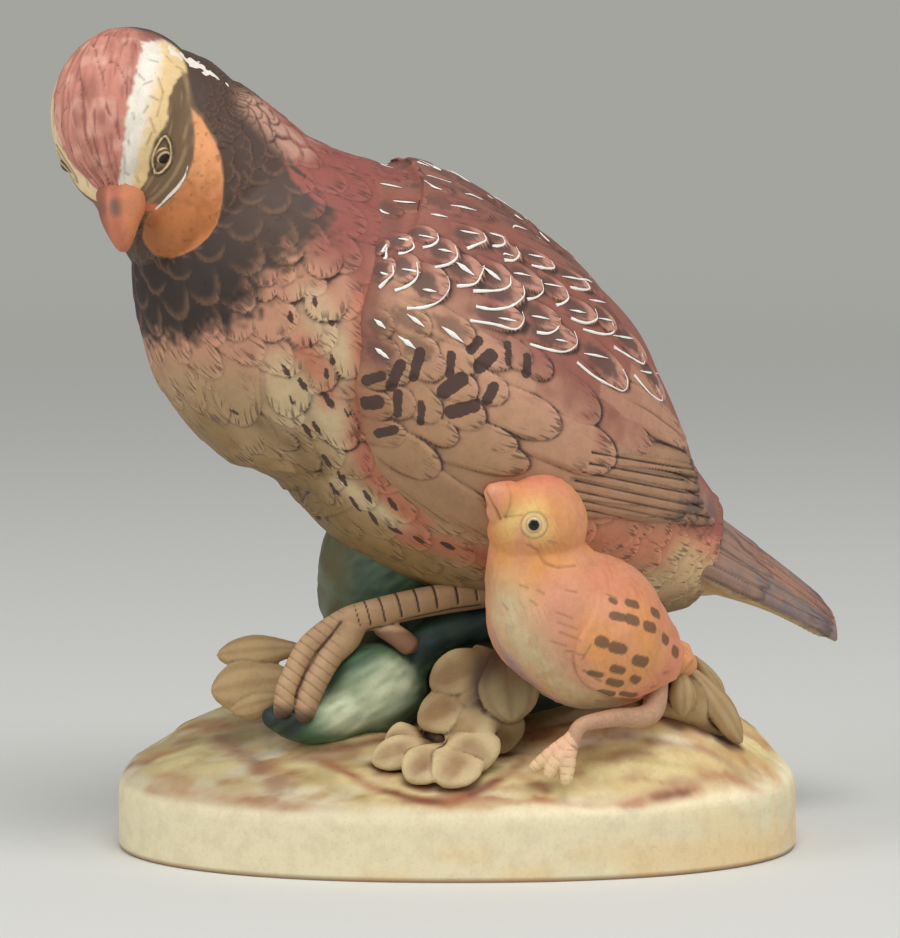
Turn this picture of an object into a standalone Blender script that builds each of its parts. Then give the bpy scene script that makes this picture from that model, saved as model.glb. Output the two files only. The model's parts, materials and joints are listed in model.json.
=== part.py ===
# Quail bending over its chick on a leafy oval base, slip-cast and fired as one piece of porcelain.
# Metres, +Z up. The origin is the middle of the flat underside and +X runs along the base towards
# the quail's tail. The quail's left side and the chick face -Y.
import math

import bmesh
import bpy
from mathutils import Matrix, Vector

MM = 0.001

# Base
BASE_LENGTH = 140 * MM
BASE_DEPTH = 87.3 * MM
BASE_WALL = 12 * MM
BASE_CORNER_POWER = 2.22
DOME_RISE = 14 * MM
DOME_POWER = 0.42
DOME_FALL_TO_FRONT = 0.45
# Humps of the earth: place, rise and reach. The first carries the chick.
HUMPS = ((36, -12, 10, 21), (-48, 14, 4, 14), (59, 12, 4, 11), (-20, -8, 4, 18))

# Quail. Its stance is how far the whole group reaches from crown to tail and how high it stands on the base's wall.
STANCE_REACH = 161 * MM
STANCE_RISE = 156 * MM
BODY_GIRTH = 40 * MM
BODY_BREADTH_SHARE = 0.92
HEAD_LENGTH = 17.5 * MM
HEAD_BREADTH = 15.6 * MM
BEAK_LENGTH = 13.5 * MM
BEAK_DEPTH = 5.6 * MM
CREST_HEIGHT = 2.0 * MM
EYE_RADIUS = 2.1 * MM
TAIL_THICKNESS = 3.4 * MM
TAIL_BREADTH = 12 * MM
WING_THICKNESS = 2.8 * MM
PLUME_THICKNESS = 1.5 * MM
SHANK_RADIUS = 3.3 * MM
TOE_RADIUS = 2.3 * MM

# Chick
CHICK_BODY_GIRTH = 17.8 * MM
CHICK_HEAD_RADIUS = 10.2 * MM
CHICK_BEAK_LENGTH = 6.5 * MM
CHICK_WING_THICKNESS = 1.6 * MM
CHICK_LEG_RADIUS = 1.7 * MM
CHICK_TOE_RADIUS = 1.2 * MM

# Leaves
LEAF_THICKNESS = 3.2 * MM
STEM_RADIUS = 3.6 * MM

# Surface
VOXEL = 0.75 * MM
SMOOTHING_ROUNDS = 2
TRIANGLES = 11200


# The grid that the stations below were drawn on, in its own units, which span the stance
DRAWN_REACH = 161
DRAWN_RISE = 156


def at(x, y, z):
    """A station of the drawing, placed in the stance and on top of the base's wall, so that it rises with the base."""
    return Vector((x / DRAWN_REACH * STANCE_REACH, y * MM, z / DRAWN_RISE * STANCE_RISE + BASE_WALL))


def curve_through(stations, steps):
    """Catmull-Rom points through the stations, which are tuples of vectors and numbers."""
    ends = [stations[0], *stations, stations[-1]]
    found = []
    for i in range(len(stations) - 1):
        before, start, stop, after = ends[i : i + 4]
        for step in range(steps):
            t = step / steps
            found.append(
                tuple(
                    0.5 * (2 * b + (c - a) * t + (2 * a - 5 * b + 4 * c - d) * t**2 + (3 * b - a - 3 * c + d) * t**3)
                    for a, b, c, d in zip(before, start, stop, after)
                )
            )
    return [*found, stations[-1]]


def section_axes(tangent, up):
    """The dorsal and the left direction of a section across the tangent, which runs from head to tail."""
    dorsal = (up - up.dot(tangent) * tangent).normalized()
    return dorsal, tangent.cross(dorsal)


class Form:
    """A tube of oval sections along a curve, with its own coordinates: share along it and angle round it."""

    def __init__(self, stations, up, steps=5):
        self.rings = curve_through(stations, steps)
        self.up = up

    def section(self, share):
        """Middle, dorsal axis, left axis, height and breadth at a share of the length."""
        place = min(max(share, 0), 1) * (len(self.rings) - 1)
        low = min(int(place), len(self.rings) - 2)
        part = place - low
        middle, height, breadth = (
            a + (b - a) * part for a, b in zip(self.rings[low], self.rings[low + 1])
        )
        before = self.rings[max(low - 1, 0)][0]
        after = self.rings[min(low + 2, len(self.rings) - 1)][0]
        dorsal, left = section_axes((after - before).normalized(), self.up)
        return middle, dorsal, left, height, breadth

    def skin(self, share, angle, lift=0.0):
        """A point on the surface, angle degrees from the dorsal line to the left, raised by lift."""
        middle, dorsal, left, height, breadth = self.section(share)
        turn = math.radians(angle)
        across = math.cos(turn) * dorsal * (height + lift) + math.sin(turn) * left * (breadth + lift)
        return middle + across

    def mesh(self, pieces, sides=28):
        """Adds the closed tube."""
        count = len(self.rings)
        rings = [
            [self.skin(i / (count - 1), 360 * j / sides) for j in range(sides)] for i in range(count)
        ]
        add_tube(pieces, rings, self.rings[0][0], self.rings[-1][0])


def add_tube(pieces, rings, first_pole, last_pole):
    """Adds rings of points to the mesh as a closed tube with a pole at each end."""
    made = [[pieces.verts.new(point) for point in ring] for ring in rings]
    poles = pieces.verts.new(first_pole), pieces.verts.new(last_pole)
    sides = len(made[0])
    faces = []
    for j in range(sides):
        k = (j + 1) % sides
        faces.append(pieces.faces.new((made[0][j], made[0][k], poles[0])))
        faces.append(pieces.faces.new((made[-1][k], made[-1][j], poles[1])))
        for a, b in zip(made, made[1:]):
            faces.append(pieces.faces.new((a[k], a[j], b[j], b[k])))
    bmesh.ops.recalc_face_normals(pieces, faces=faces)


def add_ball(pieces, centre, forward, up, radii):
    """Adds an ellipsoid: radii are along forward, across and along up."""
    forward = forward.normalized()
    upright = (up - up.dot(forward) * forward).normalized()
    turn = Matrix((forward, upright.cross(forward), upright)).transposed().to_4x4()
    place = Matrix.Translation(centre) @ turn @ Matrix.Diagonal((*radii, 1))
    bmesh.ops.create_uvsphere(pieces, u_segments=24, v_segments=16, radius=1, matrix=place)


def add_limb(pieces, points, radii, up=Vector((0, 0, 1)), flatness=1.0):
    """Adds a limb, toe or stem through the points, with its own radius at each."""
    stations = [(point, radius, radius * flatness) for point, radius in zip(points, radii)]
    Form(stations, up, steps=4).mesh(pieces, sides=12)


def add_plume(pieces, form, start, stop, width, thickness, tip_power=0.55):
    """Adds a feather that lies on a form from start to stop, each (share, angle), with a round raised tip."""
    rows, columns = 7, 6
    length = (form.skin(*stop) - form.skin(*start)).length
    top, bottom = [], []
    for i in range(rows):
        along = 0.02 + 0.96 * i / (rows - 1)
        share = start[0] + (stop[0] - start[0]) * along
        angle = start[1] + (stop[1] - start[1]) * along
        half = 0.5 * width * min(1.0, (1 - along) ** tip_power * 1.5, 0.45 + 1.6 * along)
        girth = (form.skin(share, angle + 1) - form.skin(share, angle - 1)).length / 2
        row_top, row_bottom = [], []
        for j in range(columns):
            side = 2 * j / (columns - 1) - 1
            spread = angle + side * half / max(girth, 1e-6)
            crown = thickness * (0.35 + 0.65 * along) * (1 - 0.45 * side**2)
            row_top.append(form.skin(share, spread, crown))
            row_bottom.append(form.skin(share, spread, -0.5 * thickness - 0.05 * length))
        top.append(row_top)
        bottom.append(row_bottom)
    rings = [row + low[::-1] for row, low in zip(top, bottom)]
    first = sum(rings[0], Vector()) / len(rings[0])
    last = sum(rings[-1], Vector()) / len(rings[-1])
    add_tube(pieces, rings, first, last)


def add_leaf(pieces, root, tip, width, thickness, up, bulge=0.5):
    """Adds one fleshy leaf lobe from its root to its round tip."""
    along = tip - root
    shares = [(0.0, 0.16), (0.25, 0.62), (0.55, 1.0), (0.8, 0.86), (0.95, 0.45), (1.0, 0.12)]
    stations = []
    for share, fullness in shares:
        middle = root + along * share + up * thickness * bulge * math.sin(math.pi * share)
        stations.append((middle, 0.5 * thickness * (0.5 + 0.5 * fullness), 0.5 * width * fullness))
    Form(stations, up, steps=3).mesh(pieces, sides=14)


def base_edge(turn, shrink=1.0):
    """A point of the base's outline at that angle, as a share of its size."""
    c, s = math.cos(turn), math.sin(turn)
    power = 2 / BASE_CORNER_POWER
    x = math.copysign(abs(c) ** power, c) * BASE_LENGTH / 2
    y = math.copysign(abs(s) ** power, s) * BASE_DEPTH / 2
    return Vector((x * shrink, y * shrink, 0))


def ground(x, y):
    """Height of the modelled earth at a place on the base, with its humps."""
    reach = (2 * abs(x) / BASE_LENGTH) ** BASE_CORNER_POWER + (2 * abs(y) / BASE_DEPTH) ** BASE_CORNER_POWER
    front = max(0.0, -2 * y / BASE_DEPTH)
    dome = DOME_RISE * (1 - DOME_FALL_TO_FRONT * front) * max(0.0, 1 - reach) ** DOME_POWER
    humps = 0.0
    for middle_x, middle_y, rise, width in HUMPS:
        away = math.hypot(x - middle_x * MM, (y - middle_y * MM) * 1.25) / (width * MM)
        humps += rise * MM * math.exp(-(away**2))
    return BASE_WALL + dome + humps * min(1.0, 3 * max(0.0, 1 - reach))


def add_base(pieces):
    """Adds the oval base with its upright wall and humped top. It starts under the floor, where it is cut flat."""
    sides, steps = 96, 22
    below = -4 * VOXEL
    rings = [[base_edge(2 * math.pi * j / sides) + Vector((0, 0, below)) for j in range(sides)]]
    for i in range(steps):
        shrink = 1 - (i / steps) ** 1.7
        ring = []
        for j in range(sides):
            point = base_edge(2 * math.pi * j / sides, shrink)
            point.z = ground(point.x, point.y)
            ring.append(point)
        rings.append(ring)
    add_tube(pieces, rings, Vector((0, 0, below)), Vector((0, 0, ground(0, 0))))


# The quail's trunk from the neck to the tail: middle, height and breadth of each section
QUAIL_UP = Vector((0.0, -0.22, 1.0)).normalized()
TRUNK = [
    (at(-57.0, -18, 131.0), 0.34),
    (at(-53.5, -16.5, 127.5), 0.43),
    (at(-49.2, -14, 123.2), 0.51),
    (at(-40.2, -12, 110.9), 0.728),
    (at(-30.7, -8, 100.2), 0.865),
    (at(-16.3, -3, 91.0), 0.925),
    (at(-3.6, 2, 78.7), 0.975),
    (at(8.6, 7, 68.6), 0.935),
    (at(21.2, 13, 59.4), 0.775),
    (at(37.0, 20, 50.0), 0.50),
    (at(50.9, 25, 45.4), 0.30),
]
trunk = Form(
    [(middle, BODY_GIRTH * share, BODY_GIRTH * BODY_BREADTH_SHARE * share) for middle, share in TRUNK],
    QUAIL_UP,
)

# The head hangs down and looks at the ground, with its crown towards -Y
HEAD_PLACE = at(-65.2, -24, 139.2)
HEAD_FORWARD = Vector((-0.03, -0.33, -0.94)).normalized()
HEAD_UP = Vector((-0.40, -0.86, 0.32))
HEAD_UP = (HEAD_UP - HEAD_UP.dot(HEAD_FORWARD) * HEAD_FORWARD).normalized()
HEAD_LEFT = HEAD_UP.cross(HEAD_FORWARD)


def on_head(forward, left, up):
    """A point given in millimetres from the middle of the head."""
    return HEAD_PLACE + (HEAD_FORWARD * forward + HEAD_LEFT * left + HEAD_UP * up) * MM


NAPE = [
    (at(-64.5, -23, 140.0), 15.4),
    (at(-60.8, -21, 136.6), 17.4),
    (at(-57.6, -19, 132.2), 18.8),
    (at(-53.0, -16.5, 127.4), 19.9),
    (at(-47.5, -14, 121.0), 21.4),
    (at(-41.0, -12, 113.0), 22.0),
]


def add_quail_head(pieces):
    """Nape, cranium, face, throat, crest, beak and eyes."""
    nape = [(middle, radius * MM, radius * 0.94 * MM) for middle, radius in NAPE]
    Form(nape, QUAIL_UP, steps=3).mesh(pieces, sides=24)
    cranium = (HEAD_LENGTH, HEAD_BREADTH, HEAD_BREADTH * 0.98)
    add_ball(pieces, HEAD_PLACE, HEAD_FORWARD, HEAD_UP, cranium)
    add_ball(pieces, on_head(8, 0, -2), HEAD_FORWARD, HEAD_UP, (11.5 * MM, 13.2 * MM, 12 * MM))
    add_ball(pieces, on_head(15, 9, -9), HEAD_FORWARD, HEAD_UP, (13 * MM, 9 * MM, 9 * MM))
    add_ball(pieces, on_head(10, -5, -10), HEAD_FORWARD, HEAD_UP, (13 * MM, 9 * MM, 9 * MM))
    ridge = [on_head(-12, 0, 11.5), on_head(-4, 0, 15.0), on_head(6, 0, 14.2), on_head(13, 0, 9.5)]
    add_limb(pieces, ridge, [1.2 * MM, CREST_HEIGHT, CREST_HEIGHT, 1.4 * MM], HEAD_UP, 1.6)
    root, tip = on_head(13, -0.5, 3), on_head(15 + BEAK_LENGTH / MM, -0.5, 0.5)
    bend = (root + tip) / 2 + HEAD_UP * 0.9 * MM
    add_limb(pieces, [root, bend, tip], [BEAK_DEPTH, BEAK_DEPTH * 0.72, BEAK_DEPTH * 0.2], HEAD_UP, 1.1)
    for side in (1, -1):
        add_ball(pieces, on_head(8.5, side * 12.2, 4.6), HEAD_FORWARD, HEAD_UP, (EYE_RADIUS,) * 3)


# Outline of a folded wing on the trunk: angle from the dorsal line, then the shares of its front and back edge
WING_OUTLINE = (
    (7, 0.300, 0.965),
    (17, 0.285, 1.000),
    (36, 0.318, 1.000),
    (50, 0.345, 0.985),
    (60, 0.365, 0.930),
    (73, 0.395, 0.865),
    (84, 0.425, 0.780),
    (97, 0.443, 0.720),
    (106, 0.475, 0.665),
    (112, 0.545, 0.610),
)


def between(table, value):
    """The rest of the row of a table at a value of its first column, by straight lines."""
    for low, high in zip(table, table[1:]):
        if value <= high[0]:
            part = (value - low[0]) / (high[0] - low[0])
            return [a + (b - a) * part for a, b in zip(low[1:], high[1:])]
    return list(table[-1][1:])


def wing_lift(share, angle):
    """How far a place on the folded wing stands out from the trunk."""
    front, back = between(WING_OUTLINE, angle)
    along = 2 * (share - front) / (back - front) - 1
    across = 2 * (angle - WING_OUTLINE[0][0]) / (WING_OUTLINE[-1][0] - WING_OUTLINE[0][0]) - 1
    edge = max(0.0, 1 - abs(along) ** 8) ** 0.5 * max(0.0, 1 - abs(across) ** 8) ** 0.5
    elbow = math.exp(-(((share - 0.55) / 0.12) ** 2) - ((angle - 96) / 17) ** 2)
    side = min(1.0, max(0.0, (angle - 20) / 40))
    shoulder = min(1.0, max(0.15, (share - 0.3) / 0.25))
    return WING_THICKNESS * edge * (1 + 0.7 * elbow) * (shoulder + (1 - shoulder) * side)


def add_quail_wing(pieces, side):
    """One folded wing: its mass, the coverts in rows and the flight feathers. side is 1 for left, -1 for right."""
    rows, columns = 26, 22
    first, last = WING_OUTLINE[0][0], WING_OUTLINE[-1][0]
    rings = []
    for j in range(columns):
        angle = first + (last - first) * j / (columns - 1)
        front, back = between(WING_OUTLINE, angle)
        shares = [front + (back - front) * (0.5 - 0.5 * math.cos(math.pi * i / (rows - 1))) for i in range(rows)]
        top = [trunk.skin(share, side * angle, wing_lift(share, angle)) for share in shares]
        bottom = [trunk.skin(share, side * angle, -3 * MM) for share in shares]
        rings.append(top + bottom[::-1])
    poles = [sum(ring, Vector()) / len(ring) for ring in (rings[0], rings[-1])]
    add_tube(pieces, rings, *poles)
    for row in range(6):
        root = 0.31 + 0.075 * row
        for k in range(8):
            angle = 16 + 90 * (k + 0.5 * (row % 2)) / 8
            if between(WING_OUTLINE, angle)[0] < root + 0.03 and root + 0.14 < between(WING_OUTLINE, angle)[1]:
                ends = (root, side * angle), (root + 0.145, side * (angle - 5))
                lift = wing_lift(root + 0.12, angle)
                add_plume(pieces, trunk, *ends, 11 * MM, lift + PLUME_THICKNESS)
    for k in range(7):
        start, stop = (0.70, side * (48 + 7.0 * k)), (1.0 - 0.022 * k, side * (23 + 7.5 * k))
        add_plume(pieces, trunk, start, stop, 5.6 * MM, WING_THICKNESS * 1.5, tip_power=0.3)


def add_plumage(pieces):
    """Rows of larger feathers on the breast."""
    for row in range(5):
        for k in range(9):
            angle = 100 + (k + 0.5 * (row % 2)) * 160 / 9
            root = 0.24 + 0.085 * row
            add_plume(pieces, trunk, (root, angle), (root + 0.11, angle), 12 * MM, PLUME_THICKNESS * 0.55)


def add_quail_tail(pieces):
    """The flat tail: a wedge under a fan of long feathers."""
    root, middle, end = at(44, 22.5, 49.5), at(64, 30, 39.0), at(80.4, 36.2, 27.9)
    up = Vector((0.52, -0.30, 0.80))
    wedge = [
        (root, 9.0 * MM, TAIL_BREADTH * 1.15),
        (middle, TAIL_THICKNESS, TAIL_BREADTH * 0.86),
        (end, TAIL_THICKNESS * 0.35, TAIL_BREADTH * 0.45),
    ]
    fan = Form(wedge, up, steps=6)
    fan.mesh(pieces, sides=20)
    for k in range(5):
        angle = 30 * (k - 2)
        add_plume(pieces, fan, (0.2, angle), (0.99, angle * 0.8), 4.6 * MM, PLUME_THICKNESS * 0.5)


def add_quail_leg(pieces):
    """The near leg: shank, two toes side by side and one turned back. The far leg stands behind it."""
    knee, hock, ankle = at(14, 2, 50), at(8, -9, 42.5), at(-24.5, -14, 38.8)
    add_limb(pieces, [knee, hock], [7 * MM, SHANK_RADIUS * 1.2])
    add_limb(pieces, [hock, ankle], [SHANK_RADIUS * 1.1, SHANK_RADIUS * 0.92])
    for shift, end in ((-2.1, at(-33.2, -17, 21.5)), (2.0, at(-29.0, -18.5, 20.6))):
        bend = at(-26.8 + shift, -16.5, 31.5)
        add_limb(pieces, [ankle, bend, end], [SHANK_RADIUS * 0.8, TOE_RADIUS, TOE_RADIUS * 0.95])
    add_limb(pieces, [ankle, at(-14, -18, 35.2), at(-10.4, -18, 32.6)], [2.6 * MM, TOE_RADIUS, TOE_RADIUS * 0.7])
    far = [at(6, 20, 50), at(-6, 20, 30), at(-12, 20, 10)]
    add_limb(pieces, far, [7 * MM, SHANK_RADIUS, SHANK_RADIUS])


# The chick looks up at the quail
CHICK_UP = Vector((0.25, -0.35, 1.0)).normalized()
chick_trunk = Form(
    [
        (at(17.2, -29.5, 53.0), CHICK_BODY_GIRTH * 0.52, CHICK_BODY_GIRTH * 0.52),
        (at(18.4, -29.0, 46.5), CHICK_BODY_GIRTH * 0.68, CHICK_BODY_GIRTH * 0.66),
        (at(23.0, -28.0, 40.2), CHICK_BODY_GIRTH * 0.93, CHICK_BODY_GIRTH * 0.88),
        (at(29.5, -25.5, 36.2), CHICK_BODY_GIRTH, CHICK_BODY_GIRTH * 0.95),
        (at(37.5, -22.5, 31.6), CHICK_BODY_GIRTH * 0.78, CHICK_BODY_GIRTH * 0.8),
        (at(44.0, -20.0, 28.4), CHICK_BODY_GIRTH * 0.36, CHICK_BODY_GIRTH * 0.42),
    ],
    CHICK_UP,
    steps=4,
)
CHICK_HEAD = at(18.0, -30.5, 56.6)
CHICK_BEAK_AXIS = Vector((-0.80, -0.18, 0.57)).normalized()


def add_chick(pieces):
    """Body, head, beak, wing with its feathers, rump and legs."""
    chick_trunk.mesh(pieces, sides=24)
    radii = (CHICK_HEAD_RADIUS * 1.02, CHICK_HEAD_RADIUS * 0.95, CHICK_HEAD_RADIUS)
    add_ball(pieces, CHICK_HEAD, CHICK_BEAK_AXIS, CHICK_UP, radii)
    root = CHICK_HEAD + CHICK_BEAK_AXIS * CHICK_HEAD_RADIUS * 0.72
    tip = CHICK_HEAD + CHICK_BEAK_AXIS * (CHICK_HEAD_RADIUS + CHICK_BEAK_LENGTH * 0.62)
    add_limb(pieces, [root, tip], [3.6 * MM, 1.0 * MM])
    for side in (1, -1):
        for row, (start, stop, count) in enumerate(((0.36, 0.66, 3), (0.5, 0.82, 3), (0.62, 0.96, 3))):
            for k in range(count):
                angle = side * (62 + 21 * (k + 0.5 * (row % 2)))
                ends = (start, angle), (stop, angle)
                add_plume(pieces, chick_trunk, *ends, 8.5 * MM, CHICK_WING_THICKNESS)
    add_ball(pieces, at(46.5, -19, 27.5), Vector((1, 0.4, -0.5)), CHICK_UP, (5 * MM, 3.6 * MM, 3.2 * MM))
    leg = [at(38, -28, 18.5), at(28.5, -33, 17.6), at(25.2, -36, 11.2)]
    add_limb(pieces, leg, [3.0 * MM, CHICK_LEG_RADIUS, CHICK_LEG_RADIUS])
    foot = at(24.6, -36.6, 8.4)
    for toe in (at(22.0, -38.4, 4.6), at(19.0, -36.5, 6.2), at(17.6, -33.5, 9.4)):
        add_limb(pieces, [leg[-1], foot, toe], [CHICK_LEG_RADIUS, CHICK_TOE_RADIUS, CHICK_TOE_RADIUS])


# Each lobe: root, tip, width in millimetres and the way its face looks
LEFT_LEAF = (
    (at(-31, -8, 26), at(-48.0, -8, 27.5), 6.5, Vector((-0.1, -1, 0.4))),
    (at(-30, -9, 22), at(-49.5, -11, 19.5), 9.5, Vector((-0.1, -1, 0.3))),
    (at(-33, -9, 17), at(-44, -13, 13.5), 8.0, Vector((0, -1, 0.3))),
)
FRONT_LEAF = (
    (at(14, -18, 33), at(-4.5, -22, 29), 11.0, Vector((-0.2, -1, 0.5))),
    (at(14, -20, 26), at(-8.5, -26, 19.5), 11.0, Vector((-0.3, -1, 0.6))),
    (at(9, -26, 22), at(-4.0, -35, 7.5), 10.5, Vector((-0.2, -0.9, 0.7))),
    (at(12, -27, 20), at(5.0, -36, 9.0), 11.5, Vector((0, -0.9, 0.7))),
    (at(14, -27, 24), at(11.0, -35, 13.5), 11.5, Vector((0.1, -0.9, 0.6))),
    (at(2, -27, 15), at(-15.0, -33, 9.0), 8.5, Vector((-0.1, -0.8, 0.8))),
    (at(14, -22, 34), at(12.0, -28, 17.0), 13.0, Vector((-0.2, -1, 0.4))),
)
RIGHT_LEAF = (
    (at(45, -14, 26), at(54.5, -17, 11.0), 6.0, Vector((0.6, -0.8, 0.3))),
    (at(42, -18, 24), at(55.5, -25, 9.5), 6.5, Vector((0.3, -0.9, 0.4))),
    (at(37, -7, 28), at(50.5, -4, 14.0), 8.0, Vector((0.8, 0.2, 0.4))),
)
BACK_LEAF = (
    (at(6, 12, 26), at(-20, 28, 11.0), 13.0, Vector((-0.1, 0.9, 0.5))),
    (at(14, 10, 27), at(8, 33, 9.0), 14.0, Vector((0, 0.9, 0.5))),
    (at(18, 8, 26), at(36, 28, 9.0), 13.0, Vector((0.2, 0.9, 0.5))),
)


def add_plants(pieces):
    """The pale lobed leaves, the green leaf under the foot and the green growth that holds up the body."""
    for lobes in (LEFT_LEAF, FRONT_LEAF, RIGHT_LEAF, BACK_LEAF):
        for root, tip, width, face in lobes:
            add_leaf(pieces, root, tip, width * MM, LEAF_THICKNESS, face.normalized())
    add_ball(pieces, at(-17.5, -12, 22.5), Vector((1, 0, 0.5)), Vector((0, -0.3, 1)), (15 * MM, 8 * MM, 9.5 * MM))
    add_limb(pieces, [at(-22, -12, 17), at(-37, -17, 15.5)], [6 * MM, 3.6 * MM])
    stem = [at(-6, -6, 30), at(4, -4, 36), at(16, 0, 38)]
    add_limb(pieces, stem, [STEM_RADIUS, STEM_RADIUS, STEM_RADIUS])
    growth = [(at(-8, 6, 8), 17 * MM, 14 * MM), (at(-10, 6, 24), 13 * MM, 12 * MM), (at(-13.5, 6, 42), 14 * MM, 15 * MM), (at(-10, 6, 54), 14 * MM, 14 * MM)]
    Form(growth, Vector((1, 0, 0)), steps=4).mesh(pieces, sides=20)
    prop = [(at(20, 4, 8), 17 * MM, 15 * MM), (at(18, 4, 30), 12 * MM, 12 * MM), (at(16, 4, 50), 13 * MM, 13 * MM)]
    Form(prop, Vector((1, 0, 0)), steps=4).mesh(pieces, sides=20)


def modelled_forms():
    """All the forms that were joined with slip before firing, as overlapping closed shells in one object."""
    pieces = bmesh.new()
    add_base(pieces)
    add_plants(pieces)
    trunk.mesh(pieces, sides=32)
    add_quail_head(pieces)
    add_plumage(pieces)
    for side in (1, -1):
        add_quail_wing(pieces, side)
    add_quail_tail(pieces)
    add_quail_leg(pieces)
    add_chick(pieces)
    mesh = bpy.data.meshes.new("forms")
    pieces.to_mesh(mesh)
    pieces.free()
    forms = bpy.data.objects.new("forms", mesh)
    bpy.context.scene.collection.objects.link(forms)
    return forms


def fused(forms):
    """One skin round all the forms, softened as slip softens a joint, with no more faces than it needs."""
    skin = forms.modifiers.new("one skin", "REMESH")
    skin.mode = "VOXEL"
    skin.voxel_size = VOXEL
    soft = forms.modifiers.new("slip", "SMOOTH")
    soft.iterations = round(SMOOTHING_ROUNDS)
    bpy.context.view_layer.update()
    full = forms.evaluated_get(bpy.context.evaluated_depsgraph_get())
    count = sum(len(face.vertices) - 2 for face in full.data.polygons)
    thin = forms.modifiers.new("fewer faces", "DECIMATE")
    thin.ratio = min(1.0, TRIANGLES / count)
    bpy.context.view_layer.update()
    full = forms.evaluated_get(bpy.context.evaluated_depsgraph_get())
    mesh = bpy.data.meshes.new_from_object(full)
    bpy.data.objects.remove(forms)
    return mesh


def cut_flat(mesh):
    """Cuts the underside flat at the floor and closes it."""
    solid = bmesh.new()
    solid.from_mesh(mesh)
    everything = [*solid.verts, *solid.edges, *solid.faces]
    floor = Vector((0, 0, 0))
    bmesh.ops.bisect_plane(solid, geom=everything, plane_co=floor, plane_no=Vector((0, 0, -1)), clear_outer=True)
    rim = [edge for edge in solid.edges if edge.is_boundary]
    bmesh.ops.contextual_create(solid, geom=rim)
    bmesh.ops.triangulate(solid, faces=solid.faces[:])
    bmesh.ops.recalc_face_normals(solid, faces=solid.faces[:])
    solid.to_mesh(mesh)
    solid.free()


def bisque():
    """Matt painted porcelain in the mean colour of the painted figure."""
    material = bpy.data.materials.new("painted_bisque")
    material.use_nodes = True
    shader = material.node_tree.nodes["Principled BSDF"]
    shader.inputs["Base Color"].default_value = (0.55, 0.36, 0.24, 1)
    shader.inputs["Roughness"].default_value = 0.55
    shader.inputs["Metallic"].default_value = 0
    return material


for old in list(bpy.data.objects):
    bpy.data.objects.remove(old)

cast = fused(modelled_forms())
cut_flat(cast)
cast.name = "figurine"
cast.materials.append(bisque())
cast.shade_smooth()
cast.set_sharp_from_angle(angle=math.radians(50))
figurine = bpy.data.objects.new("figurine", cast)
bpy.context.scene.collection.objects.link(figurine)
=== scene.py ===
# %% [markdown]
# # A painted porcelain quail with its chick
# The real figure is slip-cast porcelain, fired without a glaze and painted by hand. This lesson dresses
# the plain solid of the frame: every form is modelled again at a finer grain, feather by feather, and the
# painter's work follows as soft washes, dark pigment in the hollows and raised white enamel.

import json
import math

import bpy
import numpy as np
from mathutils import Matrix, Vector
from mathutils.bvhtree import BVHTree

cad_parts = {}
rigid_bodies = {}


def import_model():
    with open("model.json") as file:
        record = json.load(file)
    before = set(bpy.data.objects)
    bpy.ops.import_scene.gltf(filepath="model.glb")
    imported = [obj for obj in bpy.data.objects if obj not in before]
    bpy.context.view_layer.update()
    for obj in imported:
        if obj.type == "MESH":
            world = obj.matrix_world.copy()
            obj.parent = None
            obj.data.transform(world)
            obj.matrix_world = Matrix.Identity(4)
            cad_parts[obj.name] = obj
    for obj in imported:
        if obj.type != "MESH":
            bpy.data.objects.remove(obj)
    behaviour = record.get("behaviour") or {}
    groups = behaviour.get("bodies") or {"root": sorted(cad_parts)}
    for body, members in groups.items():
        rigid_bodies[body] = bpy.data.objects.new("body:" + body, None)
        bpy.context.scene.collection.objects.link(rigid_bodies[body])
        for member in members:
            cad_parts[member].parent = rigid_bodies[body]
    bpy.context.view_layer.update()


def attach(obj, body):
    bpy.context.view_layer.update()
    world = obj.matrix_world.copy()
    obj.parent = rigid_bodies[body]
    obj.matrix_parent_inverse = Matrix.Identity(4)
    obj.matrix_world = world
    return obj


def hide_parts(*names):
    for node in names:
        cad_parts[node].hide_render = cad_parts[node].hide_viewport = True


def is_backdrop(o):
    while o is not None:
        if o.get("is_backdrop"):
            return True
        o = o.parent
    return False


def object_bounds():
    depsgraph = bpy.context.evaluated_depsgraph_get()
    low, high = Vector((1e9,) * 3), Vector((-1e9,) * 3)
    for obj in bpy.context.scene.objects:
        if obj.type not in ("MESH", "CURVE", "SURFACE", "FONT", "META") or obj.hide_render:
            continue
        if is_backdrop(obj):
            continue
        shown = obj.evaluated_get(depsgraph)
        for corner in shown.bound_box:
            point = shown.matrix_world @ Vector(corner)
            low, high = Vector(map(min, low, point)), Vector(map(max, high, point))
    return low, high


for spare in list(bpy.data.objects):
    bpy.data.objects.remove(spare)
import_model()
MM = 0.001

# %% [markdown]
# The camera comes first, because places on the figure are named by where the photograph shows them.
# A long lens one metre away keeps the proportions of the picture.

# %% Camera
PICTURE = (900, 938)
FOCAL_PIXELS = 4878
AIM = np.array([-1.5, 0.0, 77.6])
LOOK_DOWN = math.radians(6.5)
DISTANCE = 1000.0
VIEW = np.array([0.0, math.cos(LOOK_DOWN), -math.sin(LOOK_DOWN)])
PICTURE_UP = np.array([0.0, math.sin(LOOK_DOWN), math.cos(LOOK_DOWN)])
LENS_PLACE = AIM - DISTANCE * VIEW

camera = bpy.data.objects.new("camera", bpy.data.cameras.new("camera"))
bpy.context.scene.collection.objects.link(camera)
camera.data.sensor_fit = "AUTO"
camera.data.lens = camera.data.sensor_width * FOCAL_PIXELS / max(PICTURE)
camera.data.clip_end = 100
camera.location = LENS_PLACE * MM
camera.rotation_euler = (math.pi / 2 - LOOK_DOWN, 0, 0)
bpy.context.scene.camera = camera


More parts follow.
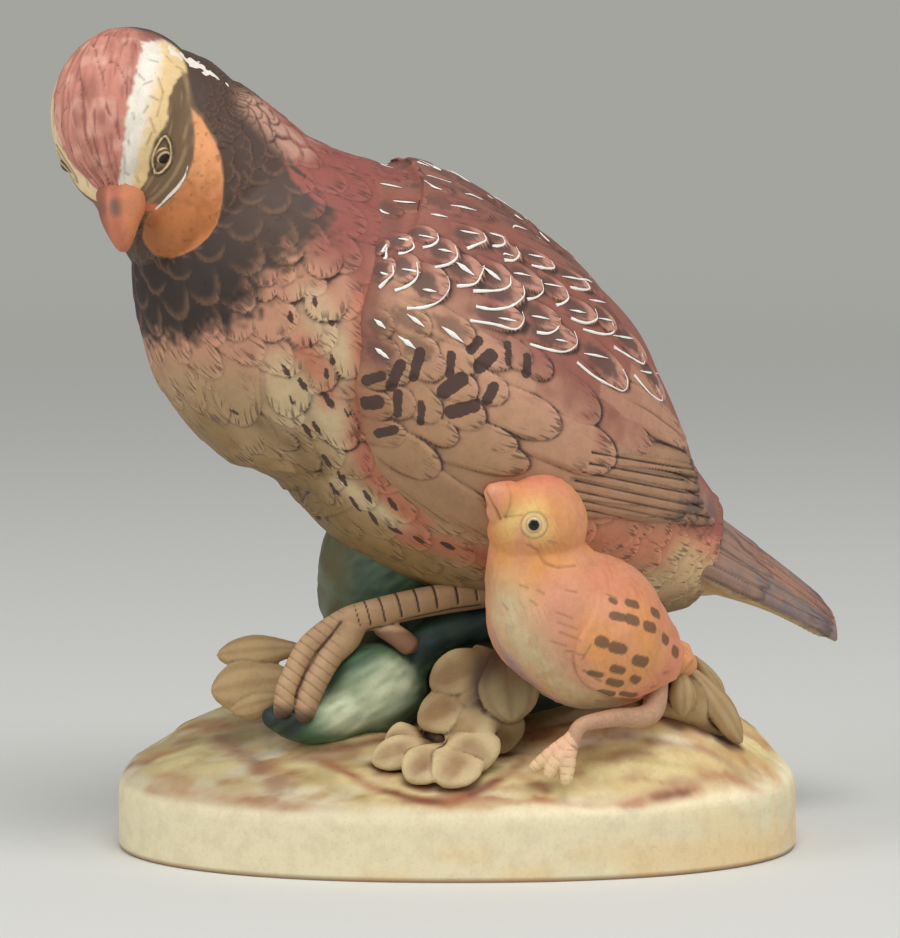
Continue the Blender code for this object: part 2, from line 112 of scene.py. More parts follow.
def sight(u, v):
    """The direction from the lens through a place of the picture."""
    x, y = (u - PICTURE[0] / 2) / FOCAL_PIXELS, (PICTURE[1] / 2 - v) / FOCAL_PIXELS
    return unit(VIEW + PICTURE_UP * y + np.array([x, 0.0, 0.0]))


def unit(vectors):
    """The same directions with a length of one."""
    vectors = np.asarray(vectors, float)
    return vectors / np.maximum(np.linalg.norm(vectors, axis=-1, keepdims=True), 1e-12)


def spot(u, v, y):
    """The point that the picture shows at a place, at depth y."""
    way = sight(u, v)
    return LENS_PLACE + way * (y - LENS_PLACE[1]) / way[1]


def pictured(points):
    """Where the picture shows points, in pixels."""
    offset = points - LENS_PLACE
    scale = FOCAL_PIXELS / (offset @ VIEW)
    across, up = offset[:, 0] * scale, offset @ PICTURE_UP * scale
    return np.stack([PICTURE[0] / 2 + across, PICTURE[1] / 2 - up], axis=1)


def ends(row):
    """The two places of the picture that a row of numbers begins with."""
    return row[:2], row[2:4]


def shown(places):
    """Points that the picture shows, given as (u, v, depth)."""
    return [spot(*place) for place in places]


print("camera at", [round(c) for c in LENS_PLACE], "mm")

# %% [markdown]
# A body, a limb and a leaf are all tubes of oval sections along a curve. Such a form also gives each
# point a place on its chart, its share of the length and its angle round, so that both sides of a bird
# are feathered and painted alike.

# %% Forms
WALL = 12.0


def at(x, y, z):
    """A station of the drawing in millimetres, which stands on the base's wall."""
    return np.array([x, y, z + WALL], float)


def curve_through(rows, steps):
    """A smooth curve through rows of numbers."""
    rows = np.asarray(rows, float)
    ends = np.vstack([rows[:1], rows, rows[-1:]])
    t = np.arange(steps)[:, None] / steps
    spans = [
        0.5 * (2 * b + (c - a) * t + (2 * a - 5 * b + 4 * c - d) * t**2 + (3 * b - a - 3 * c + d) * t**3)
        for a, b, c, d in zip(ends, ends[1:], ends[2:], ends[3:])
    ]
    return np.vstack([*spans, rows[-1:]])


class Form:
    """A tube of oval sections: stations are (middle, height, breadth)."""

    def __init__(self, stations, up, steps=8, first_share=0.0):
        self.rings = curve_through([np.hstack(station) for station in stations], steps)
        self.middle = self.rings[:, :3]
        self.tangent = unit(np.gradient(self.middle, axis=0))
        up = unit(up)
        self.dorsal = unit(up - (self.tangent @ up)[:, None] * self.tangent)
        self.left = np.cross(self.tangent, self.dorsal)
        self.shares = np.linspace(first_share, 1, len(self.rings))
        self.speed = np.linalg.norm(np.gradient(self.middle, self.shares, axis=0), axis=1)

    def along(self, table, share):
        """A column or columns of the form at each share."""
        if table.ndim == 1:
            return np.interp(share, self.shares, table)
        return np.stack([np.interp(share, self.shares, column) for column in table.T], axis=-1)

    def skin(self, share, angle, lift=0.0):
        """Points of the surface, angle degrees from the dorsal line to the left, raised by lift."""
        share, turn = np.broadcast_arrays(np.asarray(share, float), np.radians(angle))
        dorsal, left = self.along(self.dorsal, share), self.along(self.left, share)
        high = (np.cos(turn) * (self.along(self.rings[:, 3], share) + lift))[..., None]
        wide = (np.sin(turn) * (self.along(self.rings[:, 4], share) + lift))[..., None]
        return self.along(self.middle, share) + dorsal * high + left * wide

    def chart(self, points):
        """Share and angle of each point."""
        far = (points**2).sum(1)[:, None] - 2 * points @ self.middle.T + (self.middle**2).sum(1)
        share = self.shares[far.argmin(1)]
        for _ in range(3):
            offset = points - self.along(self.middle, share)
            step = (offset * self.along(self.tangent, share)).sum(1) / self.along(self.speed, share)
            share = np.clip(share + step, self.shares[0], 1)
        offset = points - self.along(self.middle, share)
        high = (offset * self.along(self.dorsal, share)).sum(1) / self.along(self.rings[:, 3], share)
        wide = (offset * self.along(self.left, share)).sum(1) / self.along(self.rings[:, 4], share)
        return share, np.degrees(np.arctan2(wide, high))

    def tube(self, sides=40):
        """The closed tube as an object."""
        share = self.shares[:, None]
        rings = self.skin(share, np.arange(sides)[None, :] * 360 / sides)
        return tube_of(rings, self.middle[0], self.middle[-1])


def shell(name, points, faces):
    """A mesh object from points in millimetres, with its faces turned outwards."""
    mesh = bpy.data.meshes.new(name)
    mesh.from_pydata((np.asarray(points) * MM).tolist(), [], faces)
    piece = bpy.data.objects.new(name, mesh)
    bpy.context.scene.collection.objects.link(piece)
    only(piece)
    bpy.ops.object.mode_set(mode="EDIT")
    bpy.ops.mesh.select_all(action="SELECT")
    bpy.ops.mesh.normals_make_consistent(inside=False)
    bpy.ops.object.mode_set(mode="OBJECT")
    return piece


def only(piece):
    """Makes a piece the one selected and active object."""
    bpy.ops.object.select_all(action="DESELECT")
    piece.select_set(True)
    bpy.context.view_layer.objects.active = piece


def tube_of(rings, first, last):
    """A closed tube over rings of points, with a pole at each end."""
    count, sides = rings.shape[:2]
    points = np.vstack([rings.reshape(-1, 3), first, last])
    faces = []
    for i in range(count - 1):
        for j in range(sides):
            k = (j + 1) % sides
            faces.append((i * sides + j, i * sides + k, (i + 1) * sides + k, (i + 1) * sides + j))
    for j in range(sides):
        k = (j + 1) % sides
        faces.append((k, j, count * sides))
        faces.append(((count - 1) * sides + j, (count - 1) * sides + k, count * sides + 1))
    return shell("tube", points, faces)


def rod(points, radii, up=(0, 0, 1), flatness=1.0, steps=8):
    """The form of a limb, toe or stem through the points, with its own radius at each."""
    return Form([(p, r, r * flatness) for p, r in zip(points, radii)], up, steps)


def limb(points, radii, up=(0, 0, 1), flatness=1.0, steps=8):
    """Such a form as a closed tube."""
    return rod(points, radii, up, flatness, steps).tube(24)


def ball(centre, forward, up, radii):
    """An egg-shaped form: radii are along forward, across and along up."""
    forward = unit(forward)
    upright = unit(up - np.dot(up, forward) * forward)
    across = np.cross(upright, forward)
    bpy.ops.object.select_all(action="DESELECT")
    bpy.ops.mesh.primitive_uv_sphere_add(segments=40, ring_count=24, radius=1)
    piece = bpy.context.object
    axes = np.stack([forward * radii[0], across * radii[1], upright * radii[2]], axis=1) * MM
    piece.matrix_world = Matrix.Translation(Vector(centre * MM)) @ Matrix(axes.tolist()).to_4x4()
    bpy.ops.object.transform_apply(location=True, rotation=True, scale=True)
    return piece


def fused(name, parts, voxel, rounds):
    """One skin round overlapping forms, softened as slip softens a joint."""
    bpy.ops.object.select_all(action="DESELECT")
    for part in parts:
        part.select_set(True)
    bpy.context.view_layer.objects.active = parts[0]
    if len(parts) > 1:
        bpy.ops.object.join()
    piece = bpy.context.object
    piece.name = name
    remesh = piece.modifiers.new("one skin", "REMESH")
    remesh.mode, remesh.voxel_size = "VOXEL", voxel * MM
    bpy.ops.object.modifier_apply(modifier=remesh.name)
    slip = piece.modifiers.new("slip", "SMOOTH")
    slip.iterations, slip.factor = rounds, 0.5
    bpy.ops.object.modifier_apply(modifier=slip.name)
    return piece


def cut(piece, point, normal, keep_low):
    """Cuts a piece at a plane through a point and closes it."""
    only(piece)
    bpy.ops.object.mode_set(mode="EDIT")
    bpy.ops.mesh.select_all(action="SELECT")
    bpy.ops.mesh.bisect(
        plane_co=point * MM, plane_no=unit(normal), use_fill=True,
        clear_inner=not keep_low, clear_outer=keep_low,
    )
    bpy.ops.object.mode_set(mode="OBJECT")


# %% [markdown]
# The potter's and the painter's work is then done on the points of a skin in numbers: a height moves
# each point along its normal, and a wash colours it. The finished skin carries its colours, the
# pigment that settled in its hollows and the barbs of its feathers as attributes for the material.

# %% Skins
def ink(red, green, blue):
    """A paint named in screen values, as light."""
    c = np.array([red, green, blue]) / 255
    return np.where(c <= 0.04045, c / 12.92, ((c + 0.055) / 1.055) ** 2.4)


def ramp(value, low, high):
    """0 at low, 1 at high and smooth between."""
    t = np.clip((value - low) / (high - low), 0, 1)
    return t * t * (3 - 2 * t)


def mottle(points, grain, seed=0):
    """Smooth random values from -1 to 1 with lumps of that size, which may differ along the axes."""
    q = points / grain
    cell = np.floor(q).astype(np.int64)
    f = q - cell
    f = f * f * (3 - 2 * f)
    total = np.zeros(len(points))
    for corner in range(8):
        bits = np.array([corner & 1, corner >> 1 & 1, corner >> 2 & 1])
        lattice = cell + bits
        mixed = lattice[:, 0] * 73856093 ^ lattice[:, 1] * 19349663 ^ lattice[:, 2] * 83492791 ^ seed * 7919
        mixed = (mixed ^ (mixed >> 13)) * 1274126177 & 0x7FFFFFFF
        value = (mixed ^ (mixed >> 16)) % 65521 / 32760 - 1
        total += value * np.prod(np.where(bits, f, 1 - f), axis=1)
    return total


MARK_COLOURS = ("dark", "white", "cream")


class Skin:
    """The points of a mesh in millimetres, to be shaped and painted."""

    def __init__(self, piece, paper):
        self.piece = piece
        mesh = piece.data
        self.count = len(mesh.vertices)
        self.points = np.empty(self.count * 3)
        mesh.vertices.foreach_get("co", self.points)
        self.points = self.points.reshape(-1, 3) / MM
        pairs = np.empty(len(mesh.edges) * 2, int)
        mesh.edges.foreach_get("vertices", pairs)
        self.one, self.two = pairs.reshape(-1, 2).T
        self.degree = np.bincount(np.hstack([self.one, self.two]), minlength=self.count)
        self.wash = np.tile(paper, (self.count, 1))
        self.hollow = np.zeros(self.count)
        self.barbs = np.zeros((self.count, 3))
        self.marks = np.full((self.count, 3), -1.0)
        self.read_normals()

    def read_normals(self):
        self.normals = np.empty(self.count * 3)
        self.piece.data.vertices.foreach_get("normal", self.normals)
        self.normals = self.normals.reshape(-1, 3)

    def even(self, values, rounds):
        """Values averaged with their neighbours' a number of times."""
        for _ in range(rounds):
            near = np.bincount(self.one, values[self.two], self.count)
            near += np.bincount(self.two, values[self.one], self.count)
            values = 0.5 * values + 0.5 * near / self.degree
        return values

    def shape(self, height):
        """Moves each point along its normal."""
        self.points = self.points + self.normals * height[:, None]
        self.piece.data.vertices.foreach_set("co", (self.points * MM).ravel())
        self.piece.data.update()
        self.read_normals()

    def settle(self, height, strength, rounds=4):
        """Dark pigment stays where the surface is lower than round about."""
        low = self.even(height, rounds) - height
        self.hollow = np.clip(np.maximum(self.hollow, low * strength), 0, 1)

    def mark(self, colour, depth):
        """A crisp mark, dark, white or cream, where depth is above 0."""
        place = MARK_COLOURS.index(colour)
        self.marks[:, place] = np.maximum(self.marks[:, place], np.clip(depth, -1, 1))

    def lay(self, colour, mask):
        """Covers the wash with a colour where the mask is."""
        self.wash += np.clip(mask, 0, 1)[:, None] * (colour - self.wash)

    def tree(self):
        """The surface as it is now, for rays and nearest points, in millimetres."""
        faces = [tuple(face.vertices) for face in self.piece.data.polygons]
        return BVHTree.FromPolygons(self.points.tolist(), faces)

    def finish(self, material, smooth_angle=60):
        """Writes the attributes, gives the material and hangs the piece on the frame."""
        mesh = self.piece.data
        colours = np.hstack([self.wash, np.ones((self.count, 1))]).astype(np.float32)
        for name, kind, field, values in (
            ("wash", "FLOAT_COLOR", "color", colours),
            ("hollow", "FLOAT", "value", self.hollow),
            ("barbs", "FLOAT_VECTOR", "vector", self.barbs),
            ("marks", "FLOAT_VECTOR", "vector", self.marks),
        ):
            layer = mesh.attributes.new(name, kind, "POINT")
            layer.data.foreach_set(field, np.asarray(values, np.float32).ravel())
        dressed(self.piece, material, smooth_angle)


def dressed(piece, material, smooth_angle=60):
    """Smooth shading, a material, and the piece's place on the frame."""
    piece.data.materials.clear()
    piece.data.materials.append(material)
    piece.data.shade_smooth()
    piece.data.set_sharp_from_angle(angle=math.radians(smooth_angle))
    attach(piece, "root")
    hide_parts("figurine")
    triangles = sum(len(face.vertices) - 2 for face in piece.data.polygons)
    print(piece.name, "has", triangles, "triangles")


def seen(tree, places):
    """Points of a surface where the picture shows them."""
    found = []
    for u, v in places:
        hit = tree.ray_cast(Vector(LENS_PLACE), Vector(sight(u, v)))[0]
        if hit is None:
            hit = tree.find_nearest(Vector(LENS_PLACE + sight(u, v) * DISTANCE))[0]
        found.append(hit[:])
    return np.array(found)


OUTSIDE = -12.0


def inside(points, path, radii):
    """How deep inside a brush stroke along a path each point lies. The radii run along the path."""
    path = np.atleast_2d(path)
    radii = np.broadcast_to(np.asarray(radii, float), len(path))
    if len(path) == 1:
        path, radii = np.vstack([path, path + 1e-6]), np.repeat(radii, 2)
    reach = radii.max() - OUTSIDE
    near = np.nonzero(((points > path.min(0) - reach) & (points < path.max(0) + reach)).all(1))[0]
    depth = np.full(len(points), OUTSIDE)
    for a, b, ra, rb in zip(path, path[1:], radii, radii[1:]):
        line = b - a
        t = np.clip((points[near] - a) @ line / (line @ line), 0, 1)
        away = np.linalg.norm(points[near] - a - t[:, None] * line, axis=1)
        depth[near] = np.maximum(depth[near], ra + (rb - ra) * t - away)
    return depth


def stroke(points, path, radii, soft=0.4):
    """How much of a soft brush stroke along a path each point gets."""
    return ramp(inside(points, path, radii), -soft, soft)


def depth_in(chart, polygon):
    """How deep inside a polygon each place of a flat chart lies."""
    polygon = np.asarray(polygon, float)
    within = np.zeros(len(chart), bool)
    away = np.full(len(chart), 1e9)
    for a, b in zip(polygon, np.roll(polygon, -1, axis=0)):
        crosses = (a[1] > chart[:, 1]) != (b[1] > chart[:, 1])
        rise = b[1] - a[1] if abs(b[1] - a[1]) > 1e-9 else 1e-9
        within ^= crosses & (chart[:, 0] < (b[0] - a[0]) * (chart[:, 1] - a[1]) / rise + a[0])
        line = b - a
        t = np.clip((chart - a) @ line / max(line @ line, 1e-9), 0, 1)
        away = np.minimum(away, np.linalg.norm(chart - a - t[:, None] * line, axis=1))
    return np.where(within, away, -away)


# %% [markdown]
# The painted bisque is one material for all: the wash from the skin, mottled by the sponge, with dark
# pigment in the hollows and fine hair strokes at the feather tips. The fired surface is matt with a
# faint grain. A small class lets shader maths read like arithmetic.

# %% Shader helpers
class Wire:
    """An output of a node, with arithmetic."""

    def __init__(self, nodes, socket):
        self.nodes, self.socket = nodes, socket

    def maths(self, operation, *values):
        return self.nodes.add("ShaderNodeMath", {"operation": operation}, *values)

    def __add__(self, other):
        return self.maths("ADD", self, other)

    def __mul__(self, other):
        return self.maths("MULTIPLY", self, other)

    def __sub__(self, other):
        return self.maths("SUBTRACT", self, other)

    def __rsub__(self, other):
        return self.maths("SUBTRACT", other, self)

    __radd__, __rmul__ = __add__, __mul__

    def ramp(self, low, high):
        """0 at low, 1 at high and smooth between."""
        settings = {"interpolation_type": "SMOOTHSTEP"}
        return self.nodes.add("ShaderNodeMapRange", settings, self, low, high, 0.0, 1.0)


class Nodes:
    """The node tree of one material."""

    def __init__(self, material):
        material.use_nodes = True
        self.tree = material.node_tree
        self.shader = self.tree.nodes["Principled BSDF"]

    def add(self, kind, settings, *values, output=0):
        """A node with its settings, then its inputs in order as numbers, colours or wires."""
        node = self.tree.nodes.new(kind)
        for name, value in settings.items():
            setattr(node, name, value)
        open_sockets = [socket for socket in node.inputs if socket.enabled]
        for socket, value in zip(open_sockets, values):
            if isinstance(value, Wire):
                self.tree.links.new(value.socket, socket)
            else:
                socket.default_value = value
        enabled = [socket for socket in node.outputs if socket.enabled]
        return Wire(self, enabled[output])

    def attribute(self, name, output):
        """An attribute of the skin: output 0 is its colour, 1 its vector, 2 its value."""
        return self.add("ShaderNodeAttribute", {"attribute_name": name}, output=output)

    def noise(self, place, scale, detail=2.0, rough=0.5):
        return self.add("ShaderNodeTexNoise", {}, place, scale, detail, rough)

    def mix(self, factor, one, two):
        """Two colours mixed by a factor."""
        return self.add("ShaderNodeMix", {"data_type": "RGBA"}, factor, one, two)

    def join(self, name, value):
        """A wire or a number into the main shader."""
        if isinstance(value, Wire):
            self.tree.links.new(value.socket, self.shader.inputs[name])
        else:
            self.shader.inputs[name].default_value = value


def light(colour):
    """A paint as a shader colour."""
    return (*[float(c) for c in colour], 1.0)


MARK_WHITE, MARK_CREAM = ink(238, 230, 216), ink(220, 192, 140)


def bisque(name, dark, stroke_strength=0.6, roughness=0.56, mark=None):
    """Painted, unglazed porcelain that reads its painting from the skin."""
    material = bpy.data.materials.new(name)
    nodes = Nodes(material)
    place = nodes.add("ShaderNodeTexCoord", {}, output=3)
    wash = nodes.attribute("wash", 0)
    hollow = nodes.attribute("hollow", 2)
    barbs = nodes.attribute("barbs", 1)
    marks = nodes.attribute("marks", 1)
    fringe = nodes.add("ShaderNodeSeparateXYZ", {}, barbs, output=2)
    cloud = nodes.noise(place, 260.0, 3.0, 0.6)
    sponge = nodes.noise(place, 1500.0, 2.0, 0.6)
    shade = cloud.ramp(0.42, 0.66) * 0.2 + sponge.ramp(0.45, 0.7) * 0.12
    colour = nodes.mix(shade, wash, nodes.mix(0.55, wash, light(dark)))
    hair_place = nodes.add("ShaderNodeVectorMath", {"operation": "MULTIPLY"}, barbs, (1.55, 0.24, 0.0))
    brush = nodes.noise(hair_place, 1.0, 1.0, 0.5)
    hair = brush.ramp(0.53, 0.62) * fringe
    colour = nodes.mix(hair * stroke_strength, colour, light(dark))
    pigment = hollow * (0.8 + sponge * 0.4)
    colour = nodes.mix(pigment.ramp(0.0, 0.75), colour, light(dark))
    ragged = brush * 0.55 + sponge * 0.3 - 0.42
    for channel, tone in enumerate((dark if mark is None else mark, MARK_WHITE, MARK_CREAM)):
        depth = nodes.add("ShaderNodeSeparateXYZ", {}, marks, output=channel)
        colour = nodes.mix((depth + ragged).ramp(-0.08, 0.12) * 0.95, colour, light(tone))
    specks = nodes.noise(place, 2600.0, 1.0, 0.5).ramp(0.73, 0.76)
    colour = nodes.mix(specks * 0.35, colour, light(dark))
    nodes.join("Base Color", colour)
    nodes.join("Roughness", roughness + 0.12 * cloud)
    nodes.join("Specular IOR Level", 0.38)
    grain = nodes.noise(place, 3800.0, 2.0, 0.6)
    relief = grain * 0.25 + sponge * 0.4 - hair * 1.1
    bump = nodes.tree.nodes.new("ShaderNodeBump")
    bump.inputs["Strength"].default_value = 0.35
    bump.inputs["Distance"].default_value = 0.12 * MM
    nodes.tree.links.new(relief.socket, bump.inputs["Height"])
    nodes.join("Normal", Wire(nodes, bump.outputs[0]))
    return material


# %% [markdown]
# Feathers are laid like roof tiles: each lies over the root of the next one towards the tail, so its
# tip stands proud. Every point of the skin keeps the highest feather over it and its place on that
# feather, which the painting uses again.

# %% Feathers
TIP_START = 0.55


class Feather:
    """One feather of a coat: root and tip on the surface, the way out, width, lift and kind."""

    def __init__(self, root, tip, out, width, lift, kind="plain"):
        self.root, self.tip = np.asarray(root, float), np.asarray(tip, float)
        self.out = unit(out)
        self.length = np.linalg.norm(self.tip - self.root)
        self.way = (self.tip - self.root) / self.length
        self.side = unit(np.cross(self.out, self.way))
        self.width, self.lift, self.kind = width, lift, kind


class Coat:
    """The feathers of one skin, and for each point which feather it is on and where."""

    def __init__(self, skin, feathers):
        self.skin, self.feathers = skin, feathers
        count = skin.count
        self.height = np.zeros(count)
        self.owner = np.full(count, -1)
        self.along, self.across, self.rim = np.zeros(count), np.zeros(count), np.ones(count)
        for number, feather in enumerate(feathers):
            self.place(number, feather)

    def place(self, number, feather):
        offset = self.skin.points - feather.root
        near = np.nonzero((offset**2).sum(1) < (feather.length * 1.1 + feather.width) ** 2)[0]
        offset = offset[near]
        u = offset @ feather.way / feather.length
        v = offset @ feather.side / (feather.width / 2)
        out = offset @ feather.out
        tip = np.maximum(u - TIP_START, 0) / (1 - TIP_START)
        rim = 1 - np.sqrt(tip**2 + v**2)
        facing = self.skin.normals[near] @ feather.out > 0.1
        inside = (rim > 0) & (u > 0) & (np.abs(out) < 0.45 * feather.length + 2) & facing
        near, u, v, rim = near[inside], u[inside], v[inside], rim[inside]
        edge = np.clip(rim / 0.24, 0, 1)
        height = feather.lift * (0.15 + 0.85 * u) * edge * (2 - edge) * ramp(u, 0, 0.2)
        if feather.kind == "long":
            height -= feather.lift * 0.18 * np.exp(-((v / 0.09) ** 2)) * ramp(u, 0.1, 0.4)
        higher = height > self.height[near]
        near = near[higher]
        self.height[near] = height[higher]
        self.owner[near] = number
        self.along[near], self.across[near], self.rim[near] = u[higher], v[higher], rim[higher]

    def press(self, strength, fringe=0.8):
        """Shapes the skin, and lets pigment and barbs follow the feathers."""
        skin = self.skin
        skin.shape(self.height)
        skin.settle(self.height, strength, 3)
        skin.settle(self.height, strength * 0.55, 14)
        lengths = np.array([f.length for f in self.feathers] + [1.0])[self.owner]
        widths = np.array([f.width for f in self.feathers] + [1.0])[self.owner]
        on = self.owner >= 0
        skin.barbs[on, 0] = (self.across * widths / 2 + self.owner * 3.7)[on]
        skin.barbs[on, 1] = (self.along * lengths + self.owner * 1.9)[on]
        skin.barbs[on, 2] = (fringe * ramp(self.along, 0.35, 0.8) * ramp(1 - self.rim, 0.3, 0.75))[on]

    def of_kind(self, kind):
        """Where the feathers of a kind are."""
        return np.array([f.kind == kind for f in self.feathers] + [False])[self.owner]


# %% [markdown]
# The quail's core is the same set of forms as the solid's: trunk, nape, head and throat, with a thigh.
# They are fused at a finer grain than the solid. The head holds the smallest marks, so it gets the
# finest skin and is cut off the trunk along a collar in the dark neck feathers.

# %% Quail forms
QUAIL_UP = (0.0, -0.22, 1.0)
GIRTH, BREADTH_SHARE = 40.0, 0.92
TRUNK = (
    (-57.0, -18, 131.0, 0.34), (-53.5, -16.5, 127.5, 0.43), (-49.2, -14, 123.2, 0.51),
    (-40.2, -12, 110.9, 0.728), (-30.7, -8, 100.2, 0.865), (-16.3, -3, 91.0, 0.925),
    (-3.6, 2, 78.7, 0.975), (8.6, 7, 68.6, 0.935), (21.2, 13, 59.4, 0.775), (37.0, 20, 50.0, 0.50),
    (50.9, 25, 45.4, 0.30),
)
NAPE = (
    (-64.5, -23, 140.0, 15.4), (-60.8, -21, 136.6, 17.4), (-57.6, -19, 132.2, 18.8),
    (-53.0, -16.5, 127.4, 19.9), (-47.5, -14, 121.0, 21.4), (-41.0, -12, 113.0, 22.0),
)
trunk_stations = [(at(x, y, z), GIRTH * s, GIRTH * BREADTH_SHARE * s) for x, y, z, s in TRUNK]
nape_stations = [(at(x, y, z), r, r * 0.94) for x, y, z, r in NAPE]
trunk = Form(trunk_stations, QUAIL_UP)
body = Form([*nape_stations[:2], *trunk_stations], QUAIL_UP, first_share=-0.2)

HEAD_PLACE = at(-65.2, -24, 139.2)
HEAD_FORWARD = unit((-0.03, -0.33, -0.94))
HEAD_UP = np.array((-0.40, -0.86, 0.32))
HEAD_UP = unit(HEAD_UP - HEAD_UP @ HEAD_FORWARD * HEAD_FORWARD)
HEAD_LEFT = np.cross(HEAD_UP, HEAD_FORWARD)
HEAD_LENGTH, HEAD_BREADTH = 17.5, 15.6


def on_head(forward, left, up):
    """A point given from the middle of the head."""
    return HEAD_PLACE + HEAD_FORWARD * forward + HEAD_LEFT * left + HEAD_UP * up


def quail_core(voxel, rounds):
    """The quail's forms in one skin of that grain, with its belly drawn in behind the breast."""
    head = (HEAD_FORWARD, HEAD_UP)
    parts = [
        trunk.tube(),
        Form(nape_stations, QUAIL_UP).tube(),
        ball(HEAD_PLACE, *head, (HEAD_LENGTH, HEAD_BREADTH, HEAD_BREADTH * 0.98)),
        ball(on_head(8, 0, -2), *head, (11.5, 13.2, 12)),
        ball(on_head(15, 9, -9), *head, (13, 9, 9)),
        ball(on_head(8, -1, -10), *head, (13, 9, 9)),
        limb(
            [on_head(-12, 0, 11.2), on_head(-4, 0, 15.0), on_head(6, 0, 14.2), on_head(13, 0, 9.5)],
            [1.2, 1.6, 1.6, 1.2], HEAD_UP, 2.2,
        ),
        limb([at(14, 2, 50), at(8, -9, 42.5)], [7.5, 4.4]),
    ]
    piece = fused("core", parts, voxel, rounds)
    skin = Skin(piece, PAPER)
    low = np.nonzero(skin.points[:, 2] < 80)[0]
    share, angle = trunk.chart(skin.points[low])
    tuck = np.zeros(skin.count)
    tuck[low] = BELLY_TUCK * ramp(share, 0.35, 0.55) * ramp(share, 0.95, 0.75) * ramp(np.abs(angle), 100, 165)
    skin.shape(-tuck)
    return piece


COLLAR_WAY = (0.62, 0.37, -0.70)
COLLAR = unit(COLLAR_WAY)
COLLAR_POINT = COLLAR * (-127.0 / np.linalg.norm(COLLAR_WAY))
WAIST_SHARE = 0.55
WAIST_POINT, WAIST = body.along(body.middle, WAIST_SHARE), body.along(body.tangent, WAIST_SHARE)
MARGIN = 3.0
BELLY_TUCK = 4.2
PAPER = ink(226, 205, 170)
core = quail_core(1.0, 2)
core_tree = Skin(core, PAPER).tree()
bpy.data.objects.remove(core)
head_piece = quail_core(0.36, 6)
cut(head_piece, COLLAR_POINT + COLLAR * MARGIN, COLLAR, keep_low=True)
breast_piece, rear_piece = quail_core(0.46, 4), quail_core(0.5, 4)
cut(breast_piece, COLLAR_POINT - COLLAR * MARGIN, COLLAR, keep_low=False)
cut(breast_piece, WAIST_POINT + WAIST * MARGIN, WAIST, keep_low=True)
cut(rear_piece, WAIST_POINT - WAIST * MARGIN, WAIST, keep_low=False)
head_piece.name, breast_piece.name, rear_piece.name = "quail_head", "quail_breast", "quail_rear"
head_skin, breast_skin, rear_skin = (Skin(piece, PAPER) for piece in (head_piece, breast_piece, rear_piece))
trunk_skins = (breast_skin, rear_skin)
head_tree, breast_tree = head_skin.tree(), breast_skin.tree()
print("head", head_skin.count, "points, breast", breast_skin.count, "and rear", rear_skin.count)

# %% [markdown]
# The breast, neck and back carry rows of feathers. They are small on the neck and large on the belly,
# and each row is shifted by half a feather.

# %% Coat of the trunk
PIXEL = DISTANCE / FOCAL_PIXELS
dice = np.random.default_rng(7)
TRUNK_LENGTH = 144.0


def nearest_on(trees, point):
    """The nearest point and normal on any of the surfaces."""
    found = [tree.find_nearest(Vector(point)) for tree in trees]
    best = min(found, key=lambda hit: hit[3])
    return np.array(best[0][:]), np.array(best[1][:])


def body_rows():
    """The rows of the quail's own feathers, from the nape to the tail."""
    feathers = []
    share, row = -0.13, 0
    while share < 0.98:
        size = np.interp(share, (-0.13, 0.0, 0.12, 0.3, 0.7, 1.0), (3.0, 4.0, 6.2, 10.0, 11.0, 7.0))
        girth = 2 * math.pi * float(body.along(body.rings[:, 3], share))
        count = max(8, round(girth / (0.86 * size)))
        for k in range(count):
            angle = -180 + (k + 0.5 * (row % 2) + dice.uniform(-0.12, 0.12)) * 360 / count
            start = share + dice.uniform(-0.1, 0.1) * size / TRUNK_LENGTH
            scale = size * dice.uniform(0.9, 1.12)
            root, out = nearest_on((core_tree,), body.skin(start, angle))
            tip, out_tip = nearest_on((core_tree,), body.skin(start + 1.25 * scale / TRUNK_LENGTH, angle))
            if np.linalg.norm(tip - root) < 0.4 * scale:
                continue
            belly = abs(angle) > 150 and share > 0.3
            lift = np.interp(share, (-0.13, 0.05, 0.3, 0.6, 1.0), (0.38, 0.5, 0.6, 0.55, 0.4))
            feathers.append(Feather(root, tip, out + out_tip, scale, lift * (0.6 if belly else 1)))
        share += 0.5 * size / TRUNK_LENGTH
        row += 1
    return feathers


# (root and tip in the picture, width in pixels, lift)
BREAST_FEATHERS = (
    (282, 226, 290, 266, 40, 0.8), (262, 246, 268, 288, 34, 0.7), (318, 234, 327, 280, 42, 1.0),
    (286, 262, 293, 303, 34, 0.8), (262, 268, 268, 302, 28, 0.7), (322, 276, 331, 323, 46, 0.9),
    (235, 300, 240, 342, 42, 0.7), (208, 300, 212, 338, 34, 0.6), (268, 300, 274, 343, 38, 0.8),
    (300, 300, 308, 348, 38, 0.8), (341, 322, 352, 380, 36, 0.9), (285, 340, 290, 378, 40, 0.6),
    (318, 345, 326, 392, 32, 0.9), (235, 345, 243, 428, 56, 0.8), (285, 360, 292, 418, 46, 0.9),
    (185, 350, 203, 414, 40, 0.7), (318, 388, 352, 450, 42, 1.1), (262, 428, 300, 446, 26, 0.9),
    (288, 438, 320, 470, 28, 0.9), (228, 405, 262, 455, 48, 0.7), (300, 468, 332, 504, 32, 0.9),
    (318, 455, 340, 477, 18, 0.7), (338, 478, 378, 508, 24, 0.9), (362, 448, 390, 486, 26, 0.7),
    (346, 446, 366, 476, 22, 0.7), (336, 494, 370, 522, 24, 0.7), (368, 506, 410, 530, 22, 0.8),
    (378, 480, 404, 512, 20, 0.7), (258, 448, 296, 500, 40, 0.6), (350, 520, 400, 548, 28, 0.6),
    (405, 528, 450, 550, 22, 0.6), (306, 500, 350, 534, 32, 0.5), (205, 345, 214, 392, 40, 0.5),
)


